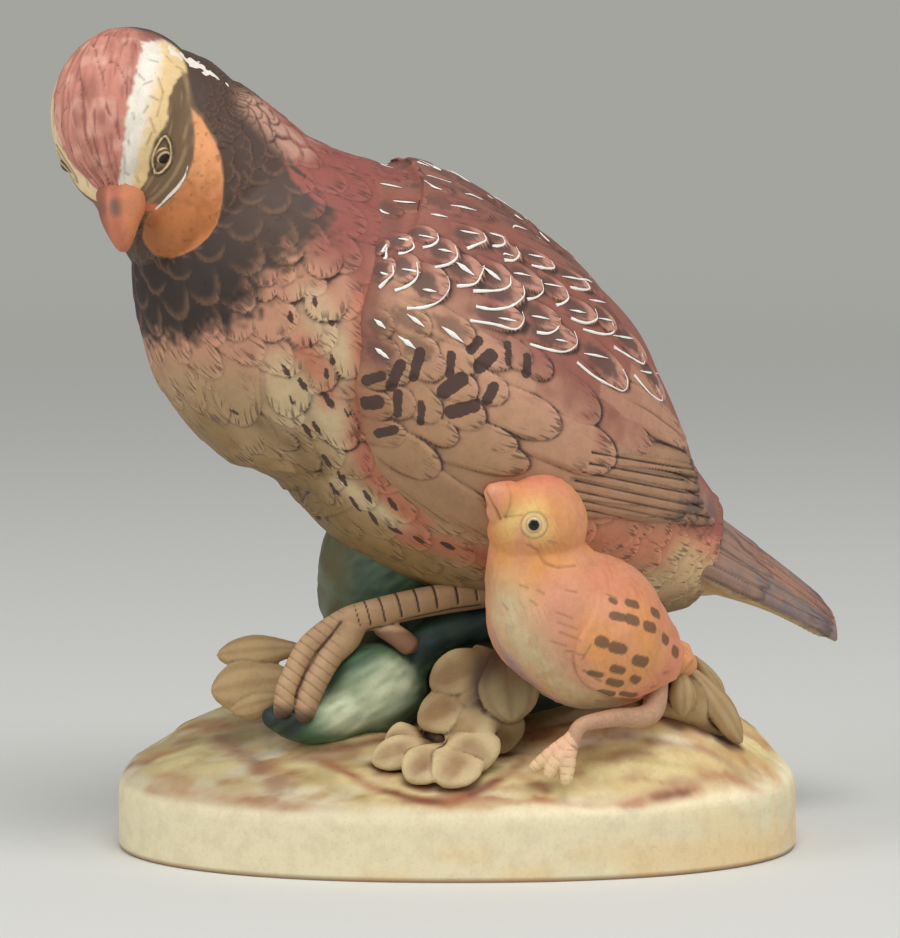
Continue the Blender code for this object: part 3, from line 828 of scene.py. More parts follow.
def breast_feathers():
    """The listed feathers of the breast, on the near side and mirrored."""
    laid = []
    roots, tips = (body.chart(seen(breast_tree, places)) for places in zip(*map(ends, BREAST_FEATHERS)))
    for side in (1, -1):
        for (*_, width, lift), s0, a0, s1, a1 in zip(BREAST_FEATHERS, *roots, *tips):
            root, out = nearest_on((core_tree,), body.skin(s0, side * np.abs(a0)))
            tip, out_tip = nearest_on((core_tree,), body.skin(s1, side * np.abs(a1)))
            laid.append(Feather(root, tip, out + out_tip, width * PIXEL, lift))
    return laid


own_feathers = body_rows() + breast_feathers()
head_coat = Coat(head_skin, own_feathers)
trunk_coats = [Coat(skin, own_feathers) for skin in trunk_skins]
print(len(own_feathers), "feathers on neck, breast and back")

# %% [markdown]
# The head is painted in bands that run from the beak over the crown: rose crown, white and yellow brow,
# dark cheek and orange throat. A point on the far side is painted as its mirror image on the near side.

# %% Charts of the quail


def head_chart(points):
    """Degrees round from the crown to the throat, beyond 180 on the far side, and degrees from the beak."""
    offset = points - HEAD_PLACE
    f, l, u = offset @ HEAD_FORWARD, offset @ HEAD_LEFT, offset @ HEAD_UP
    round_it = np.degrees(np.arctan2(l, u)) % 360
    return round_it, np.degrees(np.arctan2(np.hypot(l, u), f))


def folded_head(points):
    """The points with those on the far side of the face mirrored to the near side."""
    side = (points - HEAD_PLACE) @ HEAD_LEFT
    return points - np.where(side < 0, 2 * side, 0)[:, None] * HEAD_LEFT


def folded_body(form, points):
    """The points with those on the far side of a body mirrored to the near side."""
    share, angle = form.chart(points)
    left = form.along(form.left, share)
    side = ((points - form.along(form.middle, share)) * left).sum(1)
    return points - np.where(side < 0, 2 * side, 0)[:, None] * left, share, np.abs(angle)


THROAT_LINE = (
    (156, 212), (174, 196), (187, 177), (193, 160), (195, 136), (191, 108), (200, 116), (208, 129),
    (216, 143), (221, 158), (223, 180), (222, 201), (217, 225), (208, 238), (196, 248), (184, 254),
    (172, 258), (156, 254), (147, 245), (143, 237), (145, 221), (150, 213),
)
FACE_LINE = (
    (150, 15), (165, 34), (180, 50), (186, 66), (190, 85), (195, 107), (208, 122), (217, 143), (222, 165),
    (223, 190), (220, 212), (212, 232), (198, 248), (180, 256), (160, 256), (140, 250), (100, 260),
    (40, 230), (20, 120), (60, 15),
)
turn, away = head_chart(head_skin.points)
near_turn = np.minimum(turn, 360 - turn)
near_head = folded_head(head_skin.points)
side = (head_skin.points - HEAD_PLACE) @ HEAD_LEFT
out = head_skin.normals - np.where(side < 0, 2 * head_skin.normals @ HEAD_LEFT, 0)[:, None] * HEAD_LEFT
in_view = ramp(-(out @ VIEW), -0.1, 0.12)
bulge = np.full(head_skin.count, -1.0)
for middle in (on_head(15, 9, -9), on_head(8, -1, -10)):
    offset = head_skin.points - middle
    size = np.hypot(np.hypot(offset @ HEAD_FORWARD / 13, offset @ HEAD_LEFT / 9), offset @ HEAD_UP / 9)
    bulge = np.maximum(bulge, 1.1 - size)
throat_depth = depth_in(pictured(near_head), THROAT_LINE)
throat = ramp(throat_depth, -1.2, 1.8) * in_view
throat = np.maximum(throat, ramp(bulge, 0, 0.05) * (1 - in_view) * ramp(near_turn, 100, 112))
throat *= 1 - (turn > 180) * ramp(-(head_skin.normals @ VIEW), -0.3, 0.0)
limit = np.interp(near_turn, (0, 60, 90), (168, 156, 134))
face = ramp(depth_in(pictured(near_head), FACE_LINE), -2, 2)
face *= ramp(away, limit, limit - 12) * ramp(near_turn, 138, 120)
face = np.maximum(face, throat)
print("points of the face:", int((face > 0.5).sum()), "and of the throat:", int((throat > 0.5).sum()))

# %% [markdown]
# The painter's palette, and below it the outline of the folded wing on the trunk's own chart.

# %% Paints
NECK_DARK, NECK_DEEP, NECK_BROWN = ink(78, 60, 50), ink(40, 29, 24), ink(146, 108, 84)
ROSE, ROSE_LIGHT, ROSE_DARK = ink(204, 136, 118), ink(224, 168, 148), ink(146, 86, 74)
WHITE, BROW_YELLOW, CREAM = ink(238, 230, 214), ink(236, 204, 148), ink(214, 184, 138)
CHEEK, CHEEK_LIGHT = ink(116, 92, 66), ink(182, 152, 112)
THROAT, THROAT_DEEP = ink(238, 164, 110), ink(176, 104, 52)
RUST, PINK, CORAL, OLIVE = ink(150, 84, 74), ink(190, 138, 110), ink(186, 96, 74), ink(138, 110, 64)
BREAST_CREAM, BREAST_PALE, BELLY_BROWN = ink(174, 144, 106), ink(208, 186, 146), ink(100, 74, 42)
SPOT = ink(66, 48, 42)

# %% Where the wings lie
WING_TOP, WING_LOW = 7, 112
# (degrees from the back, share at the front edge, share at the back edge)
WING_OUTLINE = np.array((
    (7, 0.300, 0.950), (17, 0.285, 0.980), (36, 0.318, 0.980), (50, 0.345, 0.975), (60, 0.365, 0.930),
    (73, 0.395, 0.865), (84, 0.425, 0.780), (97, 0.443, 0.720), (106, 0.475, 0.665), (112, 0.545, 0.610),
))


def wing_edges(angle):
    """Shares of the wing's front and back edge at an angle."""
    return [np.interp(angle, WING_OUTLINE[:, 0], shares) for shares in WING_OUTLINE.T[1:]]


# %% [markdown]
# A few crest feathers, fine hair and the lids are raised on the head before anything is painted.

# %% Head shape
CREST = (
    (118, 196, 100, 104, 22, 0.6), (104, 190, 80, 80, 26, 1.3), (84, 180, 68, 108, 20, 0.6),
    (122, 128, 112, 62, 20, 0.5), (104, 110, 90, 46, 20, 0.6), (128, 84, 134, 40, 20, 0.4),
)
hair = mottle(np.stack([near_turn * 0.28, away * 0.05, away * 0], axis=1), 0.9, 3)
crest = []
for *line, width, lift in CREST:
    places = seen(head_tree, ends(line))
    out = np.array(head_tree.find_nearest(Vector(places.mean(0)))[1][:])
    crest.append(Feather(places[0], places[1], out, width * PIXEL, lift))
crest_coat = Coat(head_skin, crest)
crown_hair = ramp(near_turn, 42, 28) * face
head_height = head_coat.height * (1 - face) + crest_coat.height * face + 0.32 * hair * crown_hair
eye_place = seen(head_tree, [(163, 157)])[0]
almond_line = [(155, 173), (152, 160), (157, 145), (165, 136), (171, 149), (169, 163), (161, 172), (155, 173)]
lids = seen(head_tree, curve_through(almond_line, 3))
almond = stroke(near_head, lids, 0.2, 0.4)
head_height += 0.45 * almond - 0.5 * stroke(near_head, [eye_place], 1.2, 0.8)
head_coat.height = head_height
head_coat.owner[face > 0.5] = -1
head_coat.press(8, fringe=0.5)
dents = head_skin.hollow * face
head_skin.hollow *= 1 - 0.75 * face * ramp(near_turn, 70, 50)
for coat in trunk_coats:
    share, angle = trunk.chart(coat.skin.points)
    front, back = wing_edges(np.abs(angle))
    under = ramp(share - front, 0.015, 0.04) * ramp(back - share, 0.02, 0.05) * ramp(np.abs(angle), 7, 14)
    coat.height -= under * ramp(np.abs(angle), 111, 104) * (coat.height + 0.5)
    coat.press(8)


# %% [markdown]
# The body is sprayed in soft patches, and the dark drops of the breast are set one by one.

# %% Painting the body
def near_border(places, tree):
    """The lower border of the dark collar: share along the body for each angle."""
    share, angle = body.chart(seen(tree, places))
    order = np.argsort(np.abs(angle))
    return np.abs(angle)[order], share[order]


COLLAR_EDGE = (
    (262, 112), (280, 135), (304, 178), (318, 205), (306, 224), (282, 243), (256, 264), (226, 296),
    (202, 312), (176, 322), (154, 320),
)
collar = near_border(COLLAR_EDGE, core_tree)
SPRAYS = (
    (PINK, ((230, 330), (300, 300), (340, 280)), 11, 1.0),
    (PINK, ((170, 350), (190, 345), (260, 350)), 9, 0.9),
    (ink(158, 82, 72), ((300, 150), (330, 185), (348, 240)), 6, 0.9),
    (ink(150, 84, 72), ((362, 230), (364, 290)), 3, 0.8),
    (BREAST_CREAM, ((185, 390), (230, 395), (270, 420)), 9, 0.9),
    (BREAST_PALE, ((310, 300), (335, 340), (350, 370)), 4, 0.7),
    (BREAST_PALE, ((282, 370), (292, 410)), 5, 0.8), (BREAST_PALE, ((322, 395), (345, 440)), 5, 0.9),
    (BREAST_PALE, ((340, 480), (376, 506), (405, 525)), 3, 0.9),
    (CORAL, ((304, 350), (322, 372), (330, 398)), 3.4, 0.65),
    (CORAL, ((368, 300), (364, 360), (362, 400), (358, 440), (372, 470), (392, 496), (420, 520)), 3.5, 0.8),
    (OLIVE, ((210, 425), (270, 480), (330, 530), (420, 560)), 7, 0.8),
    (BELLY_BROWN, ((262, 424), (300, 446), (318, 470)), 3, 0.5),
    (CORAL, ((410, 535), (450, 545), (500, 560)), 4, 0.75),
    (ink(214, 140, 106), ((590, 540), (650, 548), (705, 540)), 7, 1.0),
    (CREAM, ((645, 585), (700, 572), (730, 585)), 5, 1.0),
)
spray_paths = [(colour, seen(core_tree, places), radius, share) for colour, places, radius, share in SPRAYS]
UPRIGHT, SLANTED, FLAT = ((-1, -6), (1, 5)), ((-4, -6), (4, 6)), ((-6, -3), (6, 3))
TEARDROPS = (
    (UPRIGHT, ((315, 303), (331, 322), (291, 318), (310, 342), (333, 361), (327, 375))),
    (SLANTED, ((287, 371), (304, 385), (294, 401), (330, 402), (349, 414), (318, 428), (308, 430), (342, 444),
               (328, 461), (343, 478), (336, 489), (369, 496), (356, 503), (375, 518), (394, 504))),
    (FLAT, ((396, 529), (421, 539), (449, 545), (237, 411))),
)
nape_scales = seen(core_tree, [(256, 108), (276, 128), (292, 144)])
drop_paths = [
    seen(core_tree, [(u + lean[0][0], v + lean[0][1]), (u, v), (u + lean[1][0], v + lean[1][1])])
    for lean, drops in TEARDROPS for u, v in drops
]


def paint_body(skin, coat):
    """Collar, breast, back, flank and belly, from soft sprays to the dark teardrops."""
    place, share, angle = folded_body(body, skin.points)
    ragged = mottle(skin.points, 2.6, 5)
    fine = mottle(skin.points, 1.1, 8)
    on = coat.owner >= 0
    skin.lay(PINK, np.ones(skin.count))
    skin.lay(BREAST_CREAM, ramp(share + 0.02 * ragged, 0.26, 0.42) * ramp(angle, 80, 100))
    skin.lay(OLIVE, ramp(share + 0.05 * ragged, 0.28, 0.5) * ramp(angle + 8 * ragged, 112, 150))
    skin.lay(BELLY_BROWN, 0.7 * ramp(share, 0.3, 0.55) * ramp(angle + 14 * fine, 142, 176))
    for colour, path, radius, strength in spray_paths:
        skin.lay(colour, strength * stroke(place, path, radius * 0.7, radius * 0.6) * (0.9 + 0.2 * fine))
    back = ramp(angle + 6 * ragged, 74, 52) * ramp(share, 0.04, 0.2)
    skin.lay(RUST, back)
    skin.lay(ink(148, 98, 80), ramp(share, 0.3, 0.45) * ramp(angle, 60, 30))
    line = np.interp(angle, *collar) + 0.022 + 0.012 * fine + 0.008 * ragged + 0.03 * (0.5 - coat.along) * on
    dark = ramp(line - share, -0.015, 0.02)
    nape = stroke(place, nape_scales, 4.5, 3.0)
    skin.lay(NECK_DARK, dark * (1 - 0.3 * nape))
    skin.lay(NECK_DEEP, 0.85 * dark * ramp(line - share, 0.24, 0.08) * ramp(angle, 60, 100))
    tips = on * ramp(coat.rim, 0.45, 0.15) * ramp(coat.along, 0.5, 0.8)
    skin.lay(NECK_BROWN, 0.4 * dark * tips * (1 - nape))
    skin.lay(ink(204, 160, 138), 0.85 * nape * ramp(coat.rim, 0.1, 0.5) * on)
    for path in drop_paths:
        skin.mark("dark", inside(place, path, (0.65, 0.85, 0.55)) * (1 - dark) - dark)
    rim_light = on * ramp(coat.rim, 0.35, 0.12) * ramp(coat.along, 0.6, 0.8) * (1 - dark)
    skin.lay(skin.wash * 1.3 + 0.02, 0.6 * rim_light)


paint_body(head_skin, head_coat)
for skin, coat in zip(trunk_skins, trunk_coats):
    paint_body(skin, coat)


# %% [markdown]
# The face is painted on a copy of the wash and laid over the neck once, so no edge shows.

# %% Painting the face
def border(places):
    """A painted border as degrees round for each degree from the beak."""
    turn, away = head_chart(seen(head_tree, places))
    order = np.argsort(away)
    return away[order], turn[order]


crown_edge, brow_edge, cheek_edge = map(border, (
    ((119, 192), (121, 170), (122, 150), (125, 128), (128, 108), (133, 85), (138, 66), (141, 52)),
    ((130, 192), (136, 170), (140, 150), (145, 128), (149, 108), (154, 88), (158, 70), (163, 56)),
    ((139, 192), (148, 176), (151, 160), (156, 140), (165, 125), (170, 98), (175, 80), (181, 74)),
))
ragged = 2.2 * mottle(head_skin.points, 1.0, 21)
far_shift = 20.0 * (turn > 180)


def beyond(edge, soft=1.6):
    """Where the skin lies past a border, towards the throat."""
    return ramp(near_turn - far_shift + ragged - np.interp(away, *edge), -soft, soft)


neck_wash = head_skin.wash.copy()
head_skin.lay(ROSE, np.ones(head_skin.count))
head_skin.lay(ROSE_LIGHT, 0.8 * ramp(mottle(near_head, 2.8, 31), -0.1, 0.7))
head_skin.lay(ROSE_DARK, 0.55 * ramp(hair, 0.1, 0.6))
head_skin.lay(ROSE_DARK, 0.7 * ramp(dents, 0.15, 0.8))
picture_v = pictured(near_head)[:, 1]
head_skin.lay(ink(120, 78, 66), 0.8 * ramp(picture_v, 60, 34) * ramp(near_turn, 20, 50))
brow_top = ramp(picture_v + 1.5 * ragged, 38, 46)
head_skin.lay(WHITE, beyond(crown_edge) * brow_top)
yellow = beyond(brow_edge, 6)
head_skin.lay(BROW_YELLOW, np.maximum(yellow, 0.8 * (turn > 180) * beyond(crown_edge)) * brow_top)
cheek = beyond(cheek_edge) * ramp(picture_v, 69, 76)
head_skin.lay(CHEEK, cheek)
streak = ramp(mottle(np.stack([near_turn * 0.28, away * 0.06, away * 0], axis=1), 0.8, 4), 0.0, 0.7)
head_skin.lay(CHEEK_LIGHT, 0.45 * streak * cheek)
head_skin.wash = neck_wash + face[:, None] * (head_skin.wash - neck_wash)
head_skin.lay(THROAT, throat)
low = (head_skin.points - HEAD_PLACE) @ HEAD_FORWARD
head_skin.lay(THROAT_DEEP, throat * 0.9 * ramp(low + ragged, 8, 22))
head_skin.hollow *= 1 - throat
head_skin.barbs[:, 2] *= 1 - throat
head_skin.lay(ink(120, 66, 36), 0.5 * throat * ramp(mottle(head_skin.points, 0.75, 40), 0.5, 0.75))
cheek_white = seen(head_tree, [(188, 166), (185, 176), (178, 187), (168, 197), (156, 209)])
head_skin.mark("white", inside(near_head, cheek_white, (0.1, 0.2, 0.35, 0.3, 0.2)))
nape_white = seen(head_tree, [(174, 52), (184, 57), (195, 63), (204, 69), (214, 76), (226, 86)])
broken = mottle(head_skin.points, 0.8, 60)
near_body = folded_body(body, head_skin.points)[0]
head_skin.mark("white", inside(near_body, nape_white, (1.7, 2.2, 2.0, 1.7, 1.2, 0.5)) + 1.6 * broken - 0.9)
head_skin.mark("cream", inside(near_head, lids, 0.2))
head_skin.lay(ink(214, 122, 86), 0.9 * stroke(near_head, seen(head_tree, [(144, 207), (156, 208)]), 0.9, 0.5))
socket = stroke(near_head, [eye_place], 1.7, 0.5)
head_skin.lay(ink(60, 46, 36), 0.8 * stroke(near_head, lids, 0.6, 0.3) * (1 - almond))
head_skin.lay(ink(196, 164, 112), 0.6 * socket)
NICKS = (
    (136, 176, 139, 182), (133, 113, 134, 119), (128, 140, 130, 145), (139, 74, 144, 80),
    (144, 84, 152, 81), (150, 60, 158, 62), (158, 78, 163, 92), (163, 92, 157, 116), (150, 118, 155, 132),
    (150, 96, 158, 100), (166, 56, 172, 62), (176, 66, 183, 70), (128, 76, 131, 82), (148, 106, 144, 112),
    (152, 132, 147, 144), (126, 172, 129, 175),
)
for nick in NICKS:
    head_skin.lay(ink(92, 66, 50), 0.7 * stroke(near_head, seen(head_tree, ends(nick)), 0.12, 0.3))

# %% [markdown]
# The beak is a short horn with a ridge. It is set into the face, with a dark nostril patch on each side.

# %% Beak
beak_root, beak_tip = on_head(15.0, 0.3, 1.2), on_head(28.2, 0.3, 0.5)
beak_bend = (beak_root + beak_tip) / 2 + HEAD_UP * 1.0
beak_line = [beak_root, beak_bend, beak_tip - HEAD_FORWARD * 1.2, beak_tip]
beak = fused("beak", [limb(beak_line, (5.4, 3.9, 1.7, 0.8), HEAD_UP, 1.12, 10)], 0.26, 3)
beak_skin = Skin(beak, ink(190, 112, 84))
beak_tree = beak_skin.tree()
near_beak = folded_head(beak_skin.points + HEAD_LEFT * 0.5)
gape = seen(beak_tree, [(153, 205), (140, 214), (130, 228), (125, 240)])
ridge = np.array([on_head(12, -0.5, 8.6), on_head(20, -0.5, 6.0), on_head(26, -0.5, 2.4)])
height = 0.5 * stroke(near_beak, ridge, 0.4, 1.4) - 0.4 * stroke(near_beak, gape, 0.1, 0.5)
beak_skin.shape(height)
beak_skin.settle(height, 4)
beak_skin.lay(ink(210, 136, 104), 0.6 * stroke(near_beak, ridge, 0.8, 1.4))
nostril = seen(beak_tree, [(118, 207), (130, 206), (136, 212)])
beak_skin.lay(ink(120, 84, 74), 0.7 * stroke(near_beak, nostril, 1.3, 1.2))
sideways = (beak_skin.points - beak_root) @ HEAD_LEFT
beak_skin.lay(ink(216, 138, 92), 0.75 * ramp(sideways, 0.5, 3.0))
beak_skin.lay(ink(138, 88, 74), 0.7 * ramp(sideways, -0.5, -3.0))
grey_patch = seen(beak_tree, [(115, 202), (116, 212)])
beak_skin.lay(ink(96, 80, 76), 0.7 * stroke(beak_skin.points, grey_patch, 0.8, 0.9))
beak_skin.finish(bisque("beak_paint", ink(96, 54, 44), 0.0, 0.48))

# %% Finishing the body
feather_paint = bisque("feather_paint", ink(70, 50, 42), 0.8, mark=SPOT)
for skin in (head_skin, *trunk_skins):
    skin.finish(feather_paint)
cut(head_piece, COLLAR_POINT + COLLAR * 0.3, COLLAR, keep_low=True)
cut(breast_piece, COLLAR_POINT, COLLAR, keep_low=False)
cut(breast_piece, WAIST_POINT + WAIST * 0.2, WAIST, keep_low=True)
cut(rear_piece, WAIST_POINT, WAIST, keep_low=False)
for piece in (head_piece, breast_piece, rear_piece):
    piece.data.set_sharp_from_angle(angle=math.radians(60))

# %% [markdown]
# Each eye is a bead with a black pupil and a pale ring, which a brush has drawn, and it has the one
# glossy paint of the figure.

# %% Eyes
def eye(name, middle, out, radius, rings, paper):
    """A painted bead whose face looks out. rings are (radius, colour) from the rim to the pupil."""
    out = unit(out)
    bead = ball(middle - out * radius * 0.55, out, (0, 0, 1), (radius, radius, radius))
    bead.name = name
    bpy.ops.object.select_all(action="DESELECT")
    only(bead)
    dense = bead.modifiers.new("dense", "SUBSURF")
    dense.levels = dense.render_levels = 1
    bpy.ops.object.modifier_apply(modifier=dense.name)
    skin = Skin(bead, paper)
    offset = skin.points - middle
    away = np.linalg.norm(offset - (offset @ out)[:, None] * out, axis=1)
    for reach, colour in rings:
        skin.lay(colour, ramp(reach - away, -0.07, 0.07))
    skin.finish(EYE_PAINT)


EYE_PAINT = bisque("eye_paint", ink(40, 30, 26), 0.0, 0.16)
BLACK = ink(24, 20, 20)
eye_rings = [(1.8, ink(96, 74, 52)), (1.5, ink(206, 176, 132)), (1.25, ink(110, 104, 104)), (1.15, BLACK)]
eye_out = unit(eye_place - HEAD_PLACE - HEAD_UP * ((eye_place - HEAD_PLACE) @ HEAD_UP) * 0.4)
for side, name in ((1, "quail_eye_left"), (-1, "quail_eye_right")):
    mirror = (eye_place - HEAD_PLACE) @ HEAD_LEFT * (side - 1) * HEAD_LEFT
    out = eye_out + eye_out @ HEAD_LEFT * (side - 1) * HEAD_LEFT
    eye(name, eye_place + mirror, out, 2.0, eye_rings, CREAM)

# %% [markdown]
# The folded wing is a thin shell that follows the trunk. Its feathers are laid one by one where the
# picture shows them: white-rimmed shoulder feathers, barred coverts, plain coverts and the long flight
# feathers. The far wing is its mirror image on the trunk's chart.

# %% Wing forms
WING_THICKNESS = 2.8
WING_COLUMNS, WING_ROWS = 270, 240


def wing_lift(share, angle):
    """How far the folded wing stands out from the trunk."""
    front, back = wing_edges(angle)
    along = 2 * (share - front) / (back - front) - 1
    across = 2 * (angle - WING_TOP) / (WING_LOW - WING_TOP) - 1
    edge = np.sqrt(np.clip(1 - np.abs(along) ** 8, 0, 1) * np.clip(1 - np.abs(across) ** 8, 0, 1))
    elbow = np.exp(-(((share - 0.55) / 0.12) ** 2) - ((angle - 96) / 17) ** 2)
    side = np.clip((angle - 20) / 40, 0, 1)
    shoulder = np.clip((share - 0.3) / 0.25, 0.15, 1)
    tucked = 0.9 * np.exp(-(((share - front) / 0.012) ** 2)) * np.clip((50 - angle) / 20, 0, 1)
    return WING_THICKNESS * edge * (1 + 0.7 * elbow) * (shoulder + (1 - shoulder) * side) - tucked


def wing_shell(name, side):
    """The wing as a closed shell. side is 1 for the left wing and -1 for the right."""
    angle = np.linspace(WING_TOP, WING_LOW, WING_ROWS)[:, None]
    front, back = wing_edges(angle)
    part = 0.5 - 0.5 * np.cos(np.pi * (0.06 + 0.88 * np.linspace(0, 1, WING_COLUMNS)))[None, :]
    part = (part - part.min()) / (part.max() - part.min())
    share = front + (back - front) * part
    angle = np.broadcast_to(angle, share.shape)
    top = trunk.skin(share, side * angle, wing_lift(share, angle))
    under = trunk.skin(share[:, ::4], side * angle[:, ::4], -3.0)
    rings = np.concatenate([top, under[:, ::-1]], axis=1)
    piece = tube_of(rings, rings[0].mean(0), rings[-1].mean(0))
    piece.name = name
    return piece


# For each kind: (root and tip in the picture, width in pixels, lift)
WING_FEATHERS = {
    "back": (
        (408, 168, 446, 176, 24, 0.5), (406, 184, 452, 194, 26, 0.5), (448, 186, 496, 204, 26, 0.5),
        (376, 206, 404, 212, 26, 0.5), (392, 198, 428, 204, 26, 0.5), (420, 202, 462, 212, 26, 0.5),
        (440, 204, 488, 214, 26, 0.5), (486, 196, 532, 220, 26, 0.5), (490, 214, 538, 236, 26, 0.5),
        (520, 222, 562, 250, 24, 0.5), (544, 238, 584, 268, 24, 0.5), (566, 262, 604, 300, 24, 0.5),
        (588, 290, 624, 334, 24, 0.5), (612, 322, 644, 360, 22, 0.5),
    ),
    "rimmed": (
        (370, 247, 389, 250, 20, 0.7), (385, 238, 413, 243, 22, 0.7), (405, 233, 439, 238, 20, 0.7),
        (448, 229, 486, 240, 24, 0.8), (484, 233, 506, 243, 18, 0.7), (494, 245, 521, 257, 20, 0.7),
        (515, 248, 555, 268, 22, 0.8), (364, 270, 396, 271, 28, 0.8), (390, 262, 420, 274, 32, 0.8),
        (425, 244, 460, 257, 30, 0.8), (405, 276, 450, 289, 40, 0.9), (443, 262, 485, 275, 32, 0.8),
        (472, 266, 513, 283, 32, 0.8), (480, 286, 526, 295, 36, 0.9), (506, 264, 544, 290, 26, 0.8),
        (533, 275, 569, 298, 26, 0.8), (551, 266, 591, 290, 22, 0.8), (468, 306, 525, 323, 30, 1.0),
        (520, 306, 561, 326, 28, 0.9), (524, 324, 578, 345, 30, 1.0), (556, 299, 597, 320, 26, 0.9),
        (588, 304, 616, 331, 26, 0.9), (578, 338, 628, 389, 32, 1.1), (604, 320, 646, 363, 28, 1.0),
        (630, 350, 664, 402, 24, 1.0),
    ),
    "streaked": (
        (364, 319, 394, 331, 30, 0.6), (385, 308, 432, 332, 30, 0.6), (425, 312, 476, 342, 30, 0.6),
        (361, 342, 400, 360, 30, 0.6), (395, 338, 440, 358, 30, 0.6),
    ),
    "barred": (
        (359, 367, 394, 381, 30, 0.7), (375, 358, 412, 378, 30, 0.7), (400, 348, 446, 374, 34, 0.7),
        (436, 342, 474, 372, 30, 0.7), (468, 340, 512, 364, 30, 0.7), (500, 344, 532, 364, 28, 0.7),
        (516, 348, 552, 376, 28, 0.8), (436, 376, 478, 396, 32, 0.8), (474, 380, 508, 398, 30, 0.8),
        (440, 404, 486, 422, 32, 0.8), (358, 398, 395, 411, 30, 0.7), (384, 392, 414, 414, 30, 0.7),
        (408, 392, 440, 420, 30, 0.7), (362, 424, 408, 438, 30, 0.7),
    ),
    "plain": (
        (484, 398, 562, 430, 44, 1.1), (524, 424, 616, 462, 52, 1.2), (418, 420, 458, 442, 26, 0.8),
        (448, 424, 518, 448, 28, 0.9), (436, 442, 530, 466, 34, 1.0), (372, 432, 440, 474, 42, 1.0),
        (396, 462, 474, 532, 46, 1.2), (540, 376, 600, 420, 44, 0.8), (592, 412, 652, 452, 34, 0.7),
    ),
    "long": (
        (600, 392, 686, 447, 40, 1.2), (630, 372, 684, 430, 34, 0.8),
    ),
    "flight": (
        (588, 446, 692, 464, 15, 1.1), (588, 458, 698, 476, 15, 1.1), (584, 468, 700, 490, 15, 1.1),
        (574, 476, 704, 502, 15, 1.1), (568, 484, 708, 513, 15, 1.1), (566, 493, 714, 523, 14, 1.1),
        (568, 502, 717, 530, 13, 1.0), (572, 511, 718, 536, 12, 1.0),
    ),
}

left_wing, right_wing = wing_shell("wing_left", 1), wing_shell("wing_right", -1)
wing_skins = [Skin(left_wing, PINK), Skin(right_wing, PINK)]
wing_tree = wing_skins[0].tree()
wing_rows = [(*row, kind) for kind, rows in WING_FEATHERS.items() for row in rows]
roots, tips = (trunk.chart(seen(wing_tree, places)) for places in zip(*map(ends, wing_rows)))


def wing_coat(skin, side):
    """The feathers of one wing."""
    feathers = []
    for (*_, width, lift, kind), s0, a0, s1, a1 in zip(wing_rows, *roots, *tips):
        a0, a1 = np.clip(np.abs((a0, a1)), WING_TOP, WING_LOW)
        root = trunk.skin(s0, side * a0, wing_lift(s0, a0))
        tip = trunk.skin(s1, side * a1, wing_lift(s1, a1))
        middle, middle_angle = (s0 + s1) / 2, (a0 + a1) / 2
        out = trunk.skin(middle, side * middle_angle, 5.0) - trunk.skin(middle, side * middle_angle, 0.0)
        feathers.append(Feather(root, tip, out, width * PIXEL, lift, kind))
    return Coat(skin, feathers)


FLIGHT_LINES = (
    (590, 452, 690, 470), (588, 463, 697, 483), (582, 472, 700, 496), (576, 481, 704, 508),
    (570, 490, 710, 518), (568, 498, 716, 527), (570, 507, 718, 534),
)
flight_lines = [seen(wing_tree, np.linspace(*ends(line), 7)) for line in FLIGHT_LINES]
wing_coats = [wing_coat(skin, side) for skin, side in zip(wing_skins, (1, -1))]
for coat in wing_coats:
    near = folded_body(trunk, coat.skin.points)[0]
    for line in flight_lines:
        coat.height -= 0.55 * stroke(near, line, 0.15, 0.4)
    coat.press(7.0, fringe=0.8)
print(len(wing_rows), "feathers on each wing")

# %% [markdown]
# Each wing gets its soft colours first, then the dark centres and the painter's bars.

# %% Painting the wings
WING_RED, WING_DARK, WING_PINK = ink(150, 92, 78), ink(92, 68, 60), ink(200, 146, 124)
COVERT, COVERT_TAN = ink(196, 148, 118), ink(156, 120, 84)
FLIGHT, FLIGHT_DARK = ink(178, 136, 104), ink(74, 56, 46)
TIP_BLUE = ink(88, 78, 80)
# (both ends in the picture, radius in mm) of the painter's dark bars
BARS = (
    (367, 380, 381, 376, 1.2), (391, 385, 400, 365, 1.3), (413, 376, 420, 353, 1.2),
    (449, 374, 451, 355, 1.0), (479, 366, 490, 356, 1.6), (507, 363, 507, 345, 0.95),
    (526, 373, 526, 357, 1.05), (444, 391, 461, 379, 1.6), (451, 412, 473, 406, 1.5),
    (487, 399, 493, 387, 1.25), (366, 403, 378, 402, 1.5), (398, 413, 398, 394, 1.0),
    (421, 421, 421, 404, 0.9), (379, 433, 395, 429, 1.1), (470, 350, 478, 341, 1.1),
)
wing_tip = seen(wing_tree, [(700, 500), (712, 522), (716, 534)])


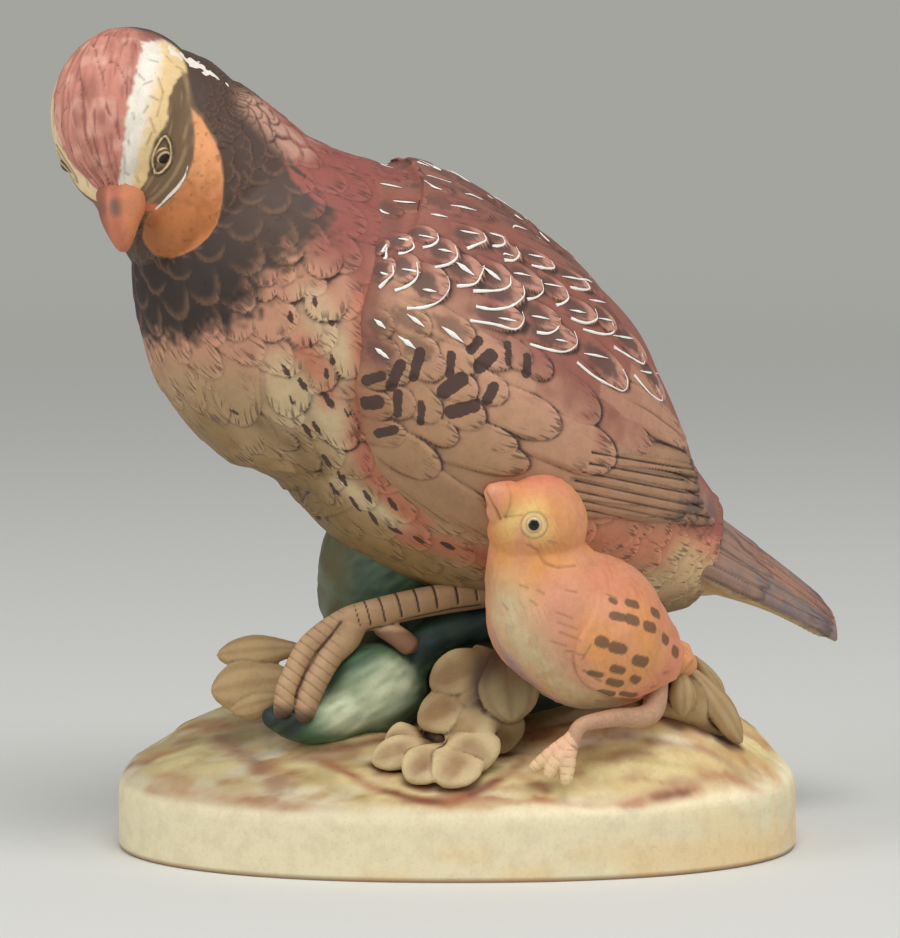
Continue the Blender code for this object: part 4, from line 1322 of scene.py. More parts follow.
def paint_wing(skin, coat, side):
    """From the rust shoulder to the dark flight feathers, then the bars and dark centres."""
    place, share, angle = folded_body(trunk, skin.points)
    ragged, fine = mottle(skin.points, 2.4, 11), mottle(skin.points, 0.8, 12)
    low = ramp(angle + 5 * ragged, 62, 92)
    skin.lay(WING_RED, np.ones(skin.count))
    skin.lay(COVERT, ramp(angle + 4 * ragged - 30 * (share - 0.5), 50, 66))
    skin.lay(COVERT_TAN, 0.8 * low)
    skin.lay(COVERT, 0.75 * ramp(share + 0.03 * ragged, 0.66, 0.8) * ramp(angle, 22, 44))
    skin.lay(ink(158, 96, 78), 0.8 * ramp(share + 0.02 * ragged, 0.42, 0.34))
    skin.lay(ink(150, 86, 68), 0.7 * ramp(share, 0.52, 0.44) * ramp(angle, 86, 100))
    skin.lay(ink(140, 96, 82), 0.8 * ramp(angle, 26, 10))
    front = (share - wing_edges(angle)[0]) * TRUNK_LENGTH
    front_edge = ramp(front + 2 * ragged, 9, 2) * ramp(angle, 94, 84) * ramp(angle, 20, 34)
    skin.lay(ink(118, 68, 58), 0.75 * front_edge)
    u, v, rim = coat.along, coat.across * side, coat.rim
    on = coat.owner >= 0
    edge = on * ramp(rim, 0.3, 0.1)
    skin.lay(WING_PINK, coat.of_kind("rimmed") * ramp(u, 0.35, 0.75) * 0.9)
    for kind, strength, middle, length, breadth, grain, outer, inner in (
        ("rimmed", 0.85, (0.42, -0.15), 0.36, 0.8, 0.2, 1.05, 0.6),
        ("back", 0.6, (0.45, 0), 0.45, 0.9, 0.25, 1.1, 0.5),
        ("streaked", 0.6, (0.5, 0), 0.4, 0.7, 0.25, 1.1, 0.6),
    ):
        reach = np.hypot((u - middle[0]) / length, (v - middle[1]) / breadth)
        skin.lay(WING_DARK, coat.of_kind(kind) * strength * ramp(reach + grain * fine, outer, inner))
    for *line, radius in BARS:
        skin.mark("dark", inside(place, seen(wing_tree, ends(line)), radius) + 0.08 * fine)
    flight, long = coat.of_kind("flight"), coat.of_kind("long")
    skin.lay(FLIGHT, flight * 1.0)
    skin.lay(FLIGHT_DARK, flight * (0.5 * ramp(v, 0.2, 0.9) + 0.3 * ramp(u, 0.6, 0.95)))
    skin.lay(COVERT, long * 0.5)
    skin.lay(skin.wash * 1.25 + 0.02, 0.55 * edge * (1 - flight) * ramp(u, 0.5, 0.8))
    skin.lay(TIP_BLUE, 0.7 * stroke(place, wing_tip, 5.0, 3.0) * ramp(ragged, -0.6, 0.4))
    skin.hollow[coat.owner < 0] *= 0.7


for skin, coat, side in zip(wing_skins, wing_coats, (1, -1)):
    paint_wing(skin, coat, side)
    skin.finish(feather_paint)

# %% [markdown]
# The white enamel stands up from the bisque. Each mark is a thin tapered thread pressed on the feather.

# %% Enamel
# (middle in the picture, half length in pixels)
DASHES = (
    (396, 174, 9), (420, 174, 8), (385, 183, 10), (429, 189, 11), (373, 210, 10), (397, 200, 10),
    (462, 207, 12), (438, 215, 9), (472, 195, 8), (513, 211, 8), (517, 227, 8), (544, 237, 8),
    (403, 239, 9), (426, 236, 9), (470, 232, 10), (499, 236, 5), (374, 246, 12), (382, 273, 11),
    (411, 270, 9), (445, 250, 7), (430, 290, 7), (508, 255, 6), (537, 256, 8), (522, 274, 9),
    (553, 285, 9), (573, 278, 11), (508, 319, 9), (541, 317, 9), (562, 340, 6), (578, 311, 8),
    (605, 319, 7), (596, 355, 12), (625, 337, 12), (649, 372, 9), (589, 281, 12), (597, 301, 8),
)
RIMS = (
    ((383, 246), (386, 251), (380, 256), (366, 259)), ((411, 238), (412, 246), (405, 252), (395, 253)),
    ((437, 233), (438, 240), (431, 245), (422, 247)), ((483, 233), (485, 239), (478, 245), (466, 248)),
    ((502, 236), (504, 242), (500, 246), (494, 247)), ((516, 247), (519, 254), (514, 260), (506, 261)),
    ((551, 261), (554, 267), (545, 268), (531, 265)), ((393, 265), (393, 273), (386, 281), (374, 286)),
    ((417, 262), (417, 275), (408, 285), (394, 290)), ((455, 246), (457, 256), (449, 264), (435, 267)),
    ((447, 276), (448, 287), (440, 299), (424, 307), (407, 308)),
    ((482, 264), (483, 274), (474, 283), (457, 286)), ((510, 276), (510, 284), (500, 290), (472, 290)),
    ((523, 285), (524, 295), (512, 306), (494, 309), (476, 306)),
    ((541, 280), (543, 290), (536, 297), (527, 299)), ((566, 290), (568, 297), (563, 303), (556, 305)),
    ((584, 280), (589, 287), (581, 290), (570, 287)),
    ((522, 311), (523, 320), (516, 327), (495, 324), (470, 320)),
    ((560, 318), (558, 327), (549, 333), (537, 332)),
    ((574, 331), (576, 342), (566, 350), (548, 349), (530, 344)),
    ((595, 309), (596, 317), (586, 322), (571, 318)), ((612, 322), (614, 330), (602, 334), (583, 329)),
    ((622, 368), (627, 380), (625, 388), (612, 385), (594, 376), (577, 362)),
    ((641, 352), (644, 362), (632, 358), (614, 347)), ((655, 384), (662, 399), (650, 394), (634, 375)),
)
DIAMONDS = (
    (379, 323, 7), (407, 342, 9), (382, 353, 8), (416, 320, 9), (453, 334, 11), (465, 268, 9), (493, 274, 9),
)


def thread(points, radii, outs):
    """A flat tapered thread along points, half sunk in the surface."""
    rows = curve_through([np.hstack([p, r]) for p, r in zip(points, radii)], 4)
    line = rows[:, :3]
    radius = (rows[:, 3] * (0.82 + 0.3 * mottle(line, 0.7, 3)))[:, None, None]
    way = unit(np.gradient(line, axis=0))
    share, out_share = np.linspace(0, 1, len(line)), np.linspace(0, 1, len(outs))
    out = np.stack([np.interp(share, out_share, column) for column in outs.T], axis=1)
    side = unit(np.cross(way, out))
    turn = (np.arange(8) * math.pi / 4)[None, :, None]
    rings = line[:, None, :] + side[:, None, :] * (np.cos(turn) * radius)
    rings = rings + unit(out)[:, None, :] * (np.sin(turn) * radius * 0.55)
    return tube_of(rings, line[0], line[-1])


ENAMEL_REACH = 3.0


def enamel(name, side):
    """All the white marks of one wing."""
    surface, flat = wing_skins[0 if side > 0 else 1].tree(), wing_skins[0].tree()
    slopes = (DASHES, 0.16, 0.22, (0.1, 0.3, 0.08)), (DIAMONDS, 0.7, 0.75, (0.08, 0.55, 0.06))
    marks = [
        ([(u - r, v - rise * r), (u, v), (u + r, v + fall * r)], radii)
        for rows, rise, fall, radii in slopes for u, v, r in rows
    ]
    for places in RIMS:
        marks.append((places, np.interp(np.linspace(0, 1, len(places)), (0, 0.5, 1), (0.12, 0.27, 0.42))))
    threads = []
    for places, radii in marks:
        share, angle = trunk.chart(seen(flat, places))
        above = trunk.skin(share, side * np.abs(angle), ENAMEL_REACH)
        line, outs = map(np.array, zip(*[nearest_on([surface], point) for point in above]))
        threads.append(thread(line + outs * 0.12, radii, outs))
    for piece in threads:
        piece.select_set(True)
    bpy.context.view_layer.objects.active = threads[0]
    bpy.ops.object.join()
    piece = bpy.context.object
    piece.name = name
    return piece


enamel_white = bisque("white_enamel", ink(206, 196, 186), 0.0, 0.34)
for name, side in (("enamel_left", 1), ("enamel_right", -1)):
    Skin(enamel(name, side), ink(244, 240, 232)).finish(enamel_white)

# %% [markdown]
# The tail is a flat fan of stiff feathers over a pale underside.

# %% Tail
tail_root, tail_middle, tail_end = at(44, 22.5, 49.5), at(64, 30, 39.0), at(80.0, 36.1, 28.1)
fan = Form([(tail_root, 9.0, 13.8), (tail_middle, 3.4, 11.0), (tail_end, 1.3, 7.0)], (0.52, -0.30, 0.80), 12)
tail_parts = [fan.tube(), ball(at(50, 25, 45), (1, 0.35, -0.5), (0, 0, 1), (11, 9.5, 8.5))]
tail_skin = Skin(fused("tail", tail_parts, 0.42, 3), CREAM)
share, angle = fan.chart(tail_skin.points)
tail_tree = tail_skin.tree()
tail_feathers = []
for start, reach, lift in ((0.0, 0.55, 0.7), (0.2, 0.985, 0.8)):
    for k in range(7):
        turn = 26 * (k - 3)
        root, out = nearest_on([tail_tree], fan.skin(start, turn))
        tip, out_tip = nearest_on([tail_tree], fan.skin(reach - 0.02 * abs(k - 3), turn * 0.9))
        tail_feathers.append(Feather(root, tip, out + out_tip, 4.6, lift, "long"))
for k in range(4):
    turn = 128 + 34 * k
    root, out = nearest_on([tail_tree], fan.skin(0.15, turn))
    tip, out_tip = nearest_on([tail_tree], fan.skin(0.9, turn))
    tail_feathers.append(Feather(root, tip, out + out_tip, 5.0, 0.5, "plain"))
tail_coat = Coat(tail_skin, tail_feathers)
TAIL_LINES = ((716, 536, 818, 606), (712, 548, 828, 618), (706, 562, 832, 628), (704, 576, 822, 632))
for line in TAIL_LINES:
    carved = seen(tail_tree, np.linspace(*ends(line), 6))
    tail_coat.height -= 0.4 * stroke(tail_skin.points, carved, 0.15, 0.4)
tail_coat.press(3.5, fringe=0.5)
TAIL_BROWN, TAIL_BLUE, TAIL_RED = ink(154, 122, 104), ink(126, 114, 114), ink(178, 124, 98)
ragged = mottle(tail_skin.points, 2.0, 77)
upper = ramp(np.abs(angle) + 4 * ragged, 98, 86)
tail_skin.lay(ink(206, 134, 112), ramp(share, 0.25, 0.1) * 0.8)
tail_skin.lay(TAIL_BROWN, upper)
tail_skin.lay(TAIL_BLUE, upper * 0.8 * ramp(ragged + 2 * share, 0.5, 1.6))
tail_skin.lay(TAIL_RED, upper * 0.7 * ramp(np.abs(angle), 34, 12) * ramp(share, 0.2, 0.5))
tail_skin.lay(ink(84, 70, 68), upper * 0.5 * ramp(tail_coat.rim, 0.35, 0.1))
tail_skin.finish(feather_paint)

# %% [markdown]
# The legs are thin cast limbs. Scutes are pressed across the shank and toes, with dark pigment between.

# %% Legs and feet
TAN, TAN_DARK = ink(176, 142, 104), ink(70, 50, 38)


def scutes(skin, forms, spacing, depth):
    """Presses a groove across each limb at even spaces, and lets pigment stay in it."""
    best, place = np.full(skin.count, 1e9), np.zeros(skin.count)
    for form in forms:
        share, angle = form.chart(skin.points)
        away = np.linalg.norm(skin.points - form.skin(share, angle), axis=1)
        place = np.where(away < best, share * form.speed.mean(), place)
        best = np.minimum(best, away)
    wave = np.abs((place / spacing) % 1 - 0.5) * 2
    if depth:
        skin.shape(depth * (0.5 - ramp(wave, 0.72, 1.0)))
    skin.hollow = np.maximum(skin.hollow, 0.85 * ramp(wave, 0.8, 1.0))


shank_line = shown(((487, 592, -9), (420, 603, -12), (362, 617, -14), (346, 622, -14)))
hallux = shown(((380, 626, -13), (397, 636, -15), (409, 645, -16), (413, 648, -16), (416, 651, -16)))
TOES = (
    ((347, 620, -14), (324, 634, -15), (306, 651, -16.5), (294, 674, -18.5), (286, 693, -20),
     (283, 713, -21.5), (283, 718, -21.8)),
    ((354, 625, -15), (347, 640, -15.5), (332, 655, -17), (319, 676, -19), (310, 696, -20.5),
     (304, 718, -22), (303, 723, -22.3)),
)
TOE_RADII = (2.7, 2.6, 2.5, 2.45, 2.35, 1.9, 0.8)
leg_forms = [
    rod(shank_line, (3.2, 3.1, 3.1, 2.9), steps=10),
    *[rod(shown(toe), TOE_RADII) for toe in TOES],
    rod(hallux, (2.0, 2.2, 2.2, 1.7, 0.6), steps=10),
]
hock = at(8, -9, 42.5)
leg_parts = [limb([hock, shank_line[0]], (3.4, 3.2))] + [form.tube(24) for form in leg_forms]
leg_skin = Skin(fused("quail_foot", leg_parts, 0.3, 5), TAN)
leg_tree = leg_skin.tree()
leg_way = leg_skin.normals @ -VIEW
scutes(leg_skin, leg_forms[:1], 2.6, 0.0)
on_picture = pictured(leg_skin.points)
on_shank = ramp(on_picture[:, 0], 350, 358) * ramp(leg_way, -0.2, 0.1)
shank_low = seen(leg_tree, [(368, 630), (392, 624), (420, 616), (452, 609), (480, 605)])
low_line = stroke(leg_skin.points, shank_low, 0.2, 0.45)
SHANK_EDGE = ((368, 628), (392, 622), (420, 614), (452, 607), (480, 602))
above = ramp(np.interp(on_picture[:, 0], *zip(*SHANK_EDGE)) - on_picture[:, 1], 0, 3)
groove_line = seen(leg_tree, [(341, 622), (331, 636), (318, 651), (305, 673), (297, 692), (293, 712)])
groove = stroke(leg_skin.points, groove_line, 0.2, 0.5)
toe_wave = np.abs(((on_picture[:, 1] * 0.8 - on_picture[:, 0] * 0.6) / 9.5) % 1 - 0.5) * 2
on_toe = ramp(on_picture[:, 0], 350, 335) * ramp(leg_way, -0.2, 0.1)
shank_wave = leg_skin.hollow / 0.85 * above * on_shank
leg_skin.hollow = np.clip(0.9 * shank_wave + 0.95 * groove + 0.85 * low_line * on_shank, 0, 1)
leg_skin.hollow = np.maximum(leg_skin.hollow, 0.45 * ramp(toe_wave, 0.72, 1.0) * on_toe)
leg_skin.shape(-0.22 * shank_wave - 0.3 * groove - 0.14 * ramp(toe_wave, 0.7, 1.0) * on_toe - 0.15 * low_line)
# Painted light: the tops of the shank and toes are laid lighter as a painted highlight from above, and the
# sides turned away from the camera darker as painted shade.
leg_skin.lay(ink(212, 174, 134), 0.5 * ramp(leg_skin.normals[:, 2], 0.1, 0.8))
leg_skin.lay(ink(150, 116, 84), 0.6 * ramp(leg_way, 0.35, -0.1))
on_hallux = stroke(leg_skin.points, hallux, 3.8, 0.8) * ramp(on_picture[:, 1], 628, 634)
leg_skin.lay(ink(126, 88, 64), 0.9 * on_hallux)
for claw in ((279, 714, 286, 715), (300, 719, 308, 720)):
    leg_skin.lay(TAN_DARK, 0.9 * stroke(leg_skin.points, seen(leg_tree, ends(claw)), 1.8, 1.4))
leg_skin.finish(bisque("leg_paint", TAN_DARK, 0.0))

# %% [markdown]
# The chick is a smaller bird of the same make: a round body, a big head and a stub of a beak. Its soft
# down is airbrushed, and the brown spots of its wing are single touches of the brush.

# %% Chick
CHICK_UP = (0.25, -0.35, 1.0)
CHICK_BODY = (
    (15.4, -28.4, 53.0, 9.2), (16.8, -27.8, 46.5, 11.4), (20.0, -26.8, 39.4, 14.4),
    (26.2, -24.3, 35.7, 15.8), (34.4, -21.3, 31.6, 12.8), (42.0, -18.8, 28.6, 6.6),
)
chick_rings = [(at(x, y, z), r, r * 0.95) for x, y, z, r in CHICK_BODY]
chick_body = Form(chick_rings, CHICK_UP)
bend = np.array(CHICK_BODY[:4])
breast_balls = [a + (b - a) * t for a, b in zip(bend, bend[1:]) for t in np.linspace(0, 1, 5)]
CHICK_HEAD = spot(537, 523, -29.6)
beak_start, beak_stop = spot(512, 503, -34.0), spot(486, 489, -36.0)
CHICK_BEAK = unit(beak_stop - CHICK_HEAD)
chick = fused("chick", [
    *[ball(at(x, y, z), (1, 0, 0), CHICK_UP, (r, r * 0.97, r)) for x, y, z, r in breast_balls],
    Form(chick_rings[3:], CHICK_UP).tube(),
    ball(CHICK_HEAD, CHICK_BEAK, CHICK_UP, (10.3, 9.7, 10.0)),
    limb([beak_start, (beak_start + beak_stop) / 2, beak_stop], [4.4, 3.5, 1.0]),
    limb([spot(504, 514, -33.5), spot(496, 512, -34.5), spot(490, 505, -35.0)], [3.0, 2.2, 1.0]),
    ball(spot(677, 660, -18), (1, 0.4, -0.5), CHICK_UP, (4.6, 3.4, 3.0)),
], 0.32, 9)
chick_skin = Skin(chick, ink(214, 148, 110))
chick_tree = chick_skin.tree()
chick_near, _, chick_angle = folded_body(chick_body, chick_skin.points)
on_chick = pictured(chick_near)
CHICK_WING = (
    (573, 661), (578, 677), (587, 686), (607, 696), (636, 699), (676, 679), (705, 650), (695, 600),
    (640, 555), (602, 578), (590, 615), (576, 640),
)
wing_depth = depth_in(on_chick, CHICK_WING)
raised = ramp(np.abs(chick_angle), 14, 34) * ramp(wing_depth, -0.5, 5)
raised *= ramp(on_chick[:, 1] - 0.25 * on_chick[:, 0], 432, 500)
chick_eye = seen(chick_tree, [(534, 525)])[0]
gape_line = seen(chick_tree, [(486, 493), (491, 502), (496, 510), (500, 519)])
beak_edge = seen(chick_tree, [(507, 484), (511, 496), (510, 506), (505, 518)])
cheek_line = seen(chick_tree, [(528, 545), (537, 550), (541, 558), (545, 564), (558, 568), (575, 566)])
QUILLS = ((648, 684, 677, 670), (640, 692, 677, 679), (660, 671, 679, 659), (584, 668, 600, 678))
quills = [seen(chick_tree, ends(line)) for line in QUILLS]
down = mottle(chick_skin.points * np.array([1.0, 1.0, 0.4]), 0.9, 5)
height = 1.15 * raised + 0.1 * down
height -= 0.5 * stroke(chick_near, gape_line, 0.2, 0.4) + 0.3 * stroke(chick_near, beak_edge, 0.2, 0.5)
height -= 0.3 * stroke(chick_near, cheek_line, 0.15, 0.5)
for line in quills:
    height -= 0.3 * stroke(chick_near, line, 0.15, 0.45)
chick_skin.shape(height)
chick_skin.settle(height, 1.6, 5)
chick_skin.barbs[:, 0] = chick_skin.points @ unit((1, 0, 0.5))
chick_skin.barbs[:, 1] = chick_skin.points @ unit((-0.5, 0, 1))
chick_skin.barbs[:, 2] = 0.28 * ramp(mottle(chick_skin.points, 3.0, 14), -0.2, 0.6)

# %% [markdown]
# The chick's colours are airbrushed over each other, with the spots and pen lines on top.

# %% Painting the chick
C_ORANGE, C_CORAL, C_YELLOW = ink(220, 150, 80), ink(214, 124, 92), ink(222, 188, 112)
C_CREAM, C_PINK = ink(204, 186, 146), ink(212, 146, 120)
C_LILAC, C_BROWN = ink(152, 134, 140), ink(104, 72, 52)
for colour, places, radius, strength in (
    (C_CORAL, ((510, 482), (550, 478), (585, 505), (590, 545)), 5.5, 0.8),
    (C_ORANGE, ((520, 500), (556, 510), (566, 545)), 4.5, 0.7),
    (C_YELLOW, ((504, 532), (516, 516), (534, 512), (542, 534)), 3.2, 0.95),
    (C_ORANGE, ((498, 545), (506, 578), (530, 584), (545, 562)), 5.5, 0.95),
    (ink(190, 126, 74), ((488, 545), (490, 575), (494, 600)), 2.4, 0.8),
    (C_CREAM, ((505, 608), (520, 640), (550, 672), (590, 704)), 8, 1.0),
    (C_PINK, ((556, 592), (566, 635), (580, 668)), 5, 0.75),
    (C_LILAC, ((510, 662), (540, 692), (600, 706), (656, 698)), 3.0, 0.9),
    (C_LILAC, ((494, 636), (510, 662)), 2.0, 0.6),
    (C_CORAL, ((600, 580), (650, 600), (676, 640)), 5, 0.6),
    (C_CORAL, ((640, 690), (660, 672), (672, 650)), 3, 0.6),
    (C_ORANGE, ((596, 640), (616, 672), (646, 656), (640, 620)), 5.5, 0.85),
    (C_CREAM, ((600, 704), (640, 704), (668, 694)), 1.8, 0.6),
    (C_ORANGE, ((682, 656), (690, 664)), 2.5, 0.6),
):
    soft = stroke(chick_near, seen(chick_tree, places), radius * 0.7, radius * 0.75)
    chick_skin.lay(colour, strength * soft * (0.85 + 0.25 * down))
# (middle in the picture, half length and half height in pixels)
CHICK_SPOTS = (
    (613, 601, 4, 3), (632, 604, 7, 4), (617, 617, 8, 4), (631, 620, 7, 5), (655, 613, 6, 5),
    (648, 627, 7, 5), (662, 639, 5, 5), (671, 651, 5, 5), (601, 641, 6, 5), (616, 647, 8, 5),
    (637, 659, 8, 5), (616, 667, 7, 4), (595, 671, 7, 3), (613, 679, 8, 4), (632, 676, 5, 4),
    (605, 689, 8, 4), (626, 690, 9, 3),
)
for u, v, reach, tall in CHICK_SPOTS:
    radius = tall * 0.22
    line = seen(chick_tree, [(u - reach + tall * 0.8, v - 1), (u + reach - tall * 0.8, v + 1)])
    chick_skin.lay(ink(108, 78, 54), 0.9 * ramp(inside(chick_near, line, radius) + 0.06 * down, -0.14, 0.14))
NICK_LINES = (
    (556, 612, 572, 618), (558, 622, 577, 629), (560, 632, 580, 640), (551, 641, 566, 646),
    (566, 651, 584, 653), (582, 657, 590, 643), (538, 590, 544, 594), (503, 604, 508, 610),
    (530, 600, 537, 605), (520, 585, 528, 588), (596, 700, 612, 706), (566, 590, 576, 592),
    (655, 703, 676, 688), (548, 541, 556, 543), (505, 517, 522, 515), (606, 594, 616, 598),
)
for line in NICK_LINES:
    chick_skin.lay(C_BROWN, 0.6 * stroke(chick_near, seen(chick_tree, ends(line)), 0.15, 0.3))
wing_rim = seen(chick_tree, [(573, 655), (575, 670), (587, 687), (607, 697), (636, 700), (662, 692)])
for path, strength in ((wing_rim, 0.55), (cheek_line, 0.55), (gape_line, 0.85), (beak_edge, 0.5)):
    chick_skin.lay(C_BROWN, strength * stroke(chick_near, path, 0.18, 0.4))
for path in quills:
    chick_skin.lay(C_BROWN, 0.7 * stroke(chick_near, path, 0.2, 0.35))
on_beak = stroke(chick_near, [beak_start, beak_stop], 2.6, 1.2) * (1 - ramp(down, 0.2, 0.7))
chick_skin.lay(ink(214, 152, 116), 0.8 * on_beak)
ring = stroke(chick_near, [chick_eye], 2.75, 0.2) - stroke(chick_near, [chick_eye], 2.5, 0.2)
chick_skin.lay(ink(222, 190, 136), 0.8 * stroke(chick_near, [chick_eye], 2.4, 0.3))
chick_skin.lay(ink(120, 100, 66), 0.8 * ring)
chick_skin.finish(bisque("down_paint", ink(112, 72, 48), 0.4))
chick_eye_rings = [(1.8, ink(110, 88, 60)), (1.62, ink(216, 184, 130)), (1.12, ink(96, 84, 72)), (1.0, BLACK)]
left = unit(np.cross(CHICK_BEAK, np.array(CHICK_UP)))
left = left if (chick_eye - CHICK_HEAD) @ left > 0 else -left
for side, name in ((1, "chick_eye_left"), (-1, "chick_eye_right")):
    offset = chick_eye - CHICK_HEAD
    if side < 0:
        offset = offset - 2 * (offset @ left) * left
    middle, out = nearest_on([chick_tree], CHICK_HEAD + offset * 1.05)
    eye(name, middle - out * 0.25, out, 2.1, chick_eye_rings, ink(216, 184, 130))

# %% [markdown]
# Only the near leg shows. It bends under the body and ends in three toes on the base.

# %% Chick legs
CHICK_LEG = ((652, 711, -28), (612, 718, -34), (582, 725, -37), (573, 740, -38), (568, 757, -39))
chick_leg_forms = [rod([at(40, -19, 30), *shown(CHICK_LEG)], (2.6, 2.4, 1.9, 1.6, 1.6, 1.5), (0, 1, 0))]
for toe in (
    ((569, 750, -39), (568, 766, -39.5), (566, 780, -40.0), (566, 785, -40.1)),
    ((573, 738, -38), (553, 752, -38), (535, 767, -38), (531, 771, -38)),
    ((571, 746, -38.5), (557, 762, -39), (549, 775, -39), (546, 779, -39)),
):
    chick_leg_forms.append(rod(shown(toe), (1.5, 1.4, 1.2, 0.5), (0, 1, 0)))
chick_leg_skin = Skin(fused("chick_foot", [f.tube(20) for f in chick_leg_forms], 0.3, 3), ink(228, 196, 150))
scutes(chick_leg_skin, chick_leg_forms[1:], 1.2, 0.15)
chick_leg_skin.hollow *= 0.4
chick_leg_skin.lay(ink(230, 182, 146), ramp(chick_leg_skin.points[:, 2], 22, 27))
chick_leg_skin.finish(bisque("chick_leg_paint", ink(96, 66, 48), 0.0))

# %% [markdown]
# The base is an oval slab with a modelled top, turned from rings that climb the wall and cross the top.
# It comes before the plants, because their leaves lie on it.

# %% Base
# HUMPS are (x, y, rise, width).
BASE_LENGTH, BASE_DEPTH, CORNER_POWER = 139.6, 86.9, 2.22
HUMPS = ((36, -12, 10, 21), (-48, 14, 4, 14), (59, 12, 4, 11), (-20, -8, 4, 18))
SIDES = 420


def base_edge(turn, shrink):
    """Points of the base's outline, as a share of its size."""
    c, s = np.cos(turn), np.sin(turn)
    power = 2 / CORNER_POWER
    x = np.sign(c) * np.abs(c) ** power * BASE_LENGTH / 2 * shrink
    return x, np.sign(s) * np.abs(s) ** power * BASE_DEPTH / 2 * shrink


def base_reach(x, y):
    """How far out a place of the base lies: 0 in the middle and 1 on the outline."""
    return (2 * np.abs(x) / BASE_LENGTH) ** CORNER_POWER + (2 * np.abs(y) / BASE_DEPTH) ** CORNER_POWER


def ground(x, y):
    """Height of the modelled earth, with its humps."""
    reach = base_reach(x, y)
    dome = 14 * (1 - 0.45 * np.maximum(0, -2 * y / BASE_DEPTH)) * np.maximum(0, 1 - reach) ** 0.42
    humps = sum(
        rise * np.exp(-(((x - mx) ** 2 + ((y - my) * 1.25) ** 2) / width**2)) for mx, my, rise, width in HUMPS
    )
    return WALL + dome + humps * np.minimum(1, 3 * np.maximum(0, 1 - reach))


def base_rings():
    """Rings of points from the underside up the wall and over the top."""
    turn = 2 * math.pi * np.arange(SIDES) / SIDES
    rings = []
    wall = [(0.5, 0.0), (0.992, 0.0), (0.998, 0.35), (1.0, 1.2)] + [(1.0, z) for z in np.arange(2, 11.4, 0.8)]
    for shrink, z in wall:
        x, y = base_edge(turn, shrink)
        rings.append(np.stack([x, y, np.full(SIDES, z)], axis=1))
    for shrink in 1 - (np.linspace(0, 1, 90)[:-1]) ** 1.25:
        x, y = base_edge(turn, shrink)
        z = ground(x, y) - 0.7 * math.exp(-((1 - shrink) / 0.012))
        rings.append(np.stack([x, y, z], axis=1))
    return np.array(rings)


rings = base_rings()
base = tube_of(rings, np.array([0, 0, 0.0]), np.array([0, 0, ground(0.0, 0.0)]))
base.name = "oval_base"
base_skin = Skin(base, ink(228, 216, 182))
base_tree = base_skin.tree()

# %% [markdown]
# Plants hold the birds up: a green growth under the body, a round green leaf under the foot, and fleshy
# pale leaves whose lobes lie over each other. Pigment is airbrushed in the middle of each lobe.

# %% Plants
LEAF_THICKNESS = 3.2


def on_ground(u, v):
    """The middle of a leaf tip that lies on the base where the picture shows it."""
    return seen(base_tree, [(u, v)])[0] + np.array([0.0, 0.0, 1.2])


FACE_FRONT = (-0.15, -0.85, 0.6)
LEFT_LEAF = (
    (spot(308, 649, -9), spot(218, 656, -8), 7.0, (-0.1, -1, 0.4)),
    (spot(304, 678, -11), spot(212, 692, -11), 11.0, (-0.1, -1, 0.3)),
    (spot(290, 696, -12), spot(232, 712, -13), 6.0, (0, -1, 0.3)),
)
FRONT_LEAF = (
    (spot(440, 746, -25), on_ground(372, 768), 7.6, FACE_FRONT),
    (spot(454, 746, -26), on_ground(408, 787), 9.4, FACE_FRONT),
    (spot(462, 726, -26.5), on_ground(479, 779), 12.5, FACE_FRONT),
    (spot(490, 706, -27), on_ground(505, 757), 11.4, FACE_FRONT),
    (spot(504, 642, -20), spot(512, 722, -28.5), 12.5, (0.0, -1, 0.4)),
    (spot(506, 656, -19), spot(431, 688, -22), 10.6, FACE_FRONT),
    (spot(492, 692, -22), spot(419, 725, -25), 10.2, FACE_FRONT),
    (spot(504, 712, -26), spot(448, 744, -27.5), 11, FACE_FRONT),
    (spot(480, 742, -26.5), on_ground(442, 792), 11, FACE_FRONT),
    (spot(428, 738, -24), on_ground(386, 754), 8.5, FACE_FRONT),
)
RIGHT_LEAF = (
    (spot(684, 664, -13), on_ground(740, 749), 6.4, (0.5, -0.8, 0.35)),
    (spot(692, 656, -9), spot(722, 714, -6), 4.6, (0.6, -0.7, 0.35)),
    (spot(679, 668, -18), spot(682, 716, -21), 5.6, (0.2, -0.9, 0.35)),
    (at(37, -7, 28), at(50.5, -4, 14.0), 8.0, (0.8, 0.2, 0.4)),
)
BACK_LEAF = (
    (at(6, 12, 26), at(-20, 28, 11.0), 13.0, (-0.1, 0.9, 0.5)),
    (at(14, 10, 27), at(8, 33, 9.0), 14.0, (0, 0.9, 0.5)),
    (at(18, 8, 26), at(36, 28, 9.0), 13.0, (0.2, 0.9, 0.5)),
)
LOBES = (*LEFT_LEAF, *FRONT_LEAF, *RIGHT_LEAF, *BACK_LEAF)
LEAF_CREAM, LEAF_BROWN, LEAF_DARK = ink(206, 184, 138), ink(140, 104, 66), ink(70, 46, 30)
RIGHT_START = len(LEFT_LEAF) + len(FRONT_LEAF)
STRIPED_LOBES = (*range(len(LEFT_LEAF)), *range(RIGHT_START, RIGHT_START + len(RIGHT_LEAF)))
VEINED_LOBES = (*STRIPED_LOBES, len(LEFT_LEAF) + 4)


def lobe(root, tip, width, face):
    """One fleshy leaf lobe from its root to its round tip."""
    shares = ((0.0, 0.16), (0.25, 0.62), (0.55, 1.0), (0.8, 0.86), (0.95, 0.45), (1.0, 0.12))
    stations = []
    for share, full in shares:
        middle = root + (tip - root) * share + unit(face) * LEAF_THICKNESS * 0.5 * math.sin(math.pi * share)
        stations.append((middle, 0.5 * LEAF_THICKNESS * (0.5 + 0.5 * full), 0.5 * width * full))
    return Form(stations, face, 6)


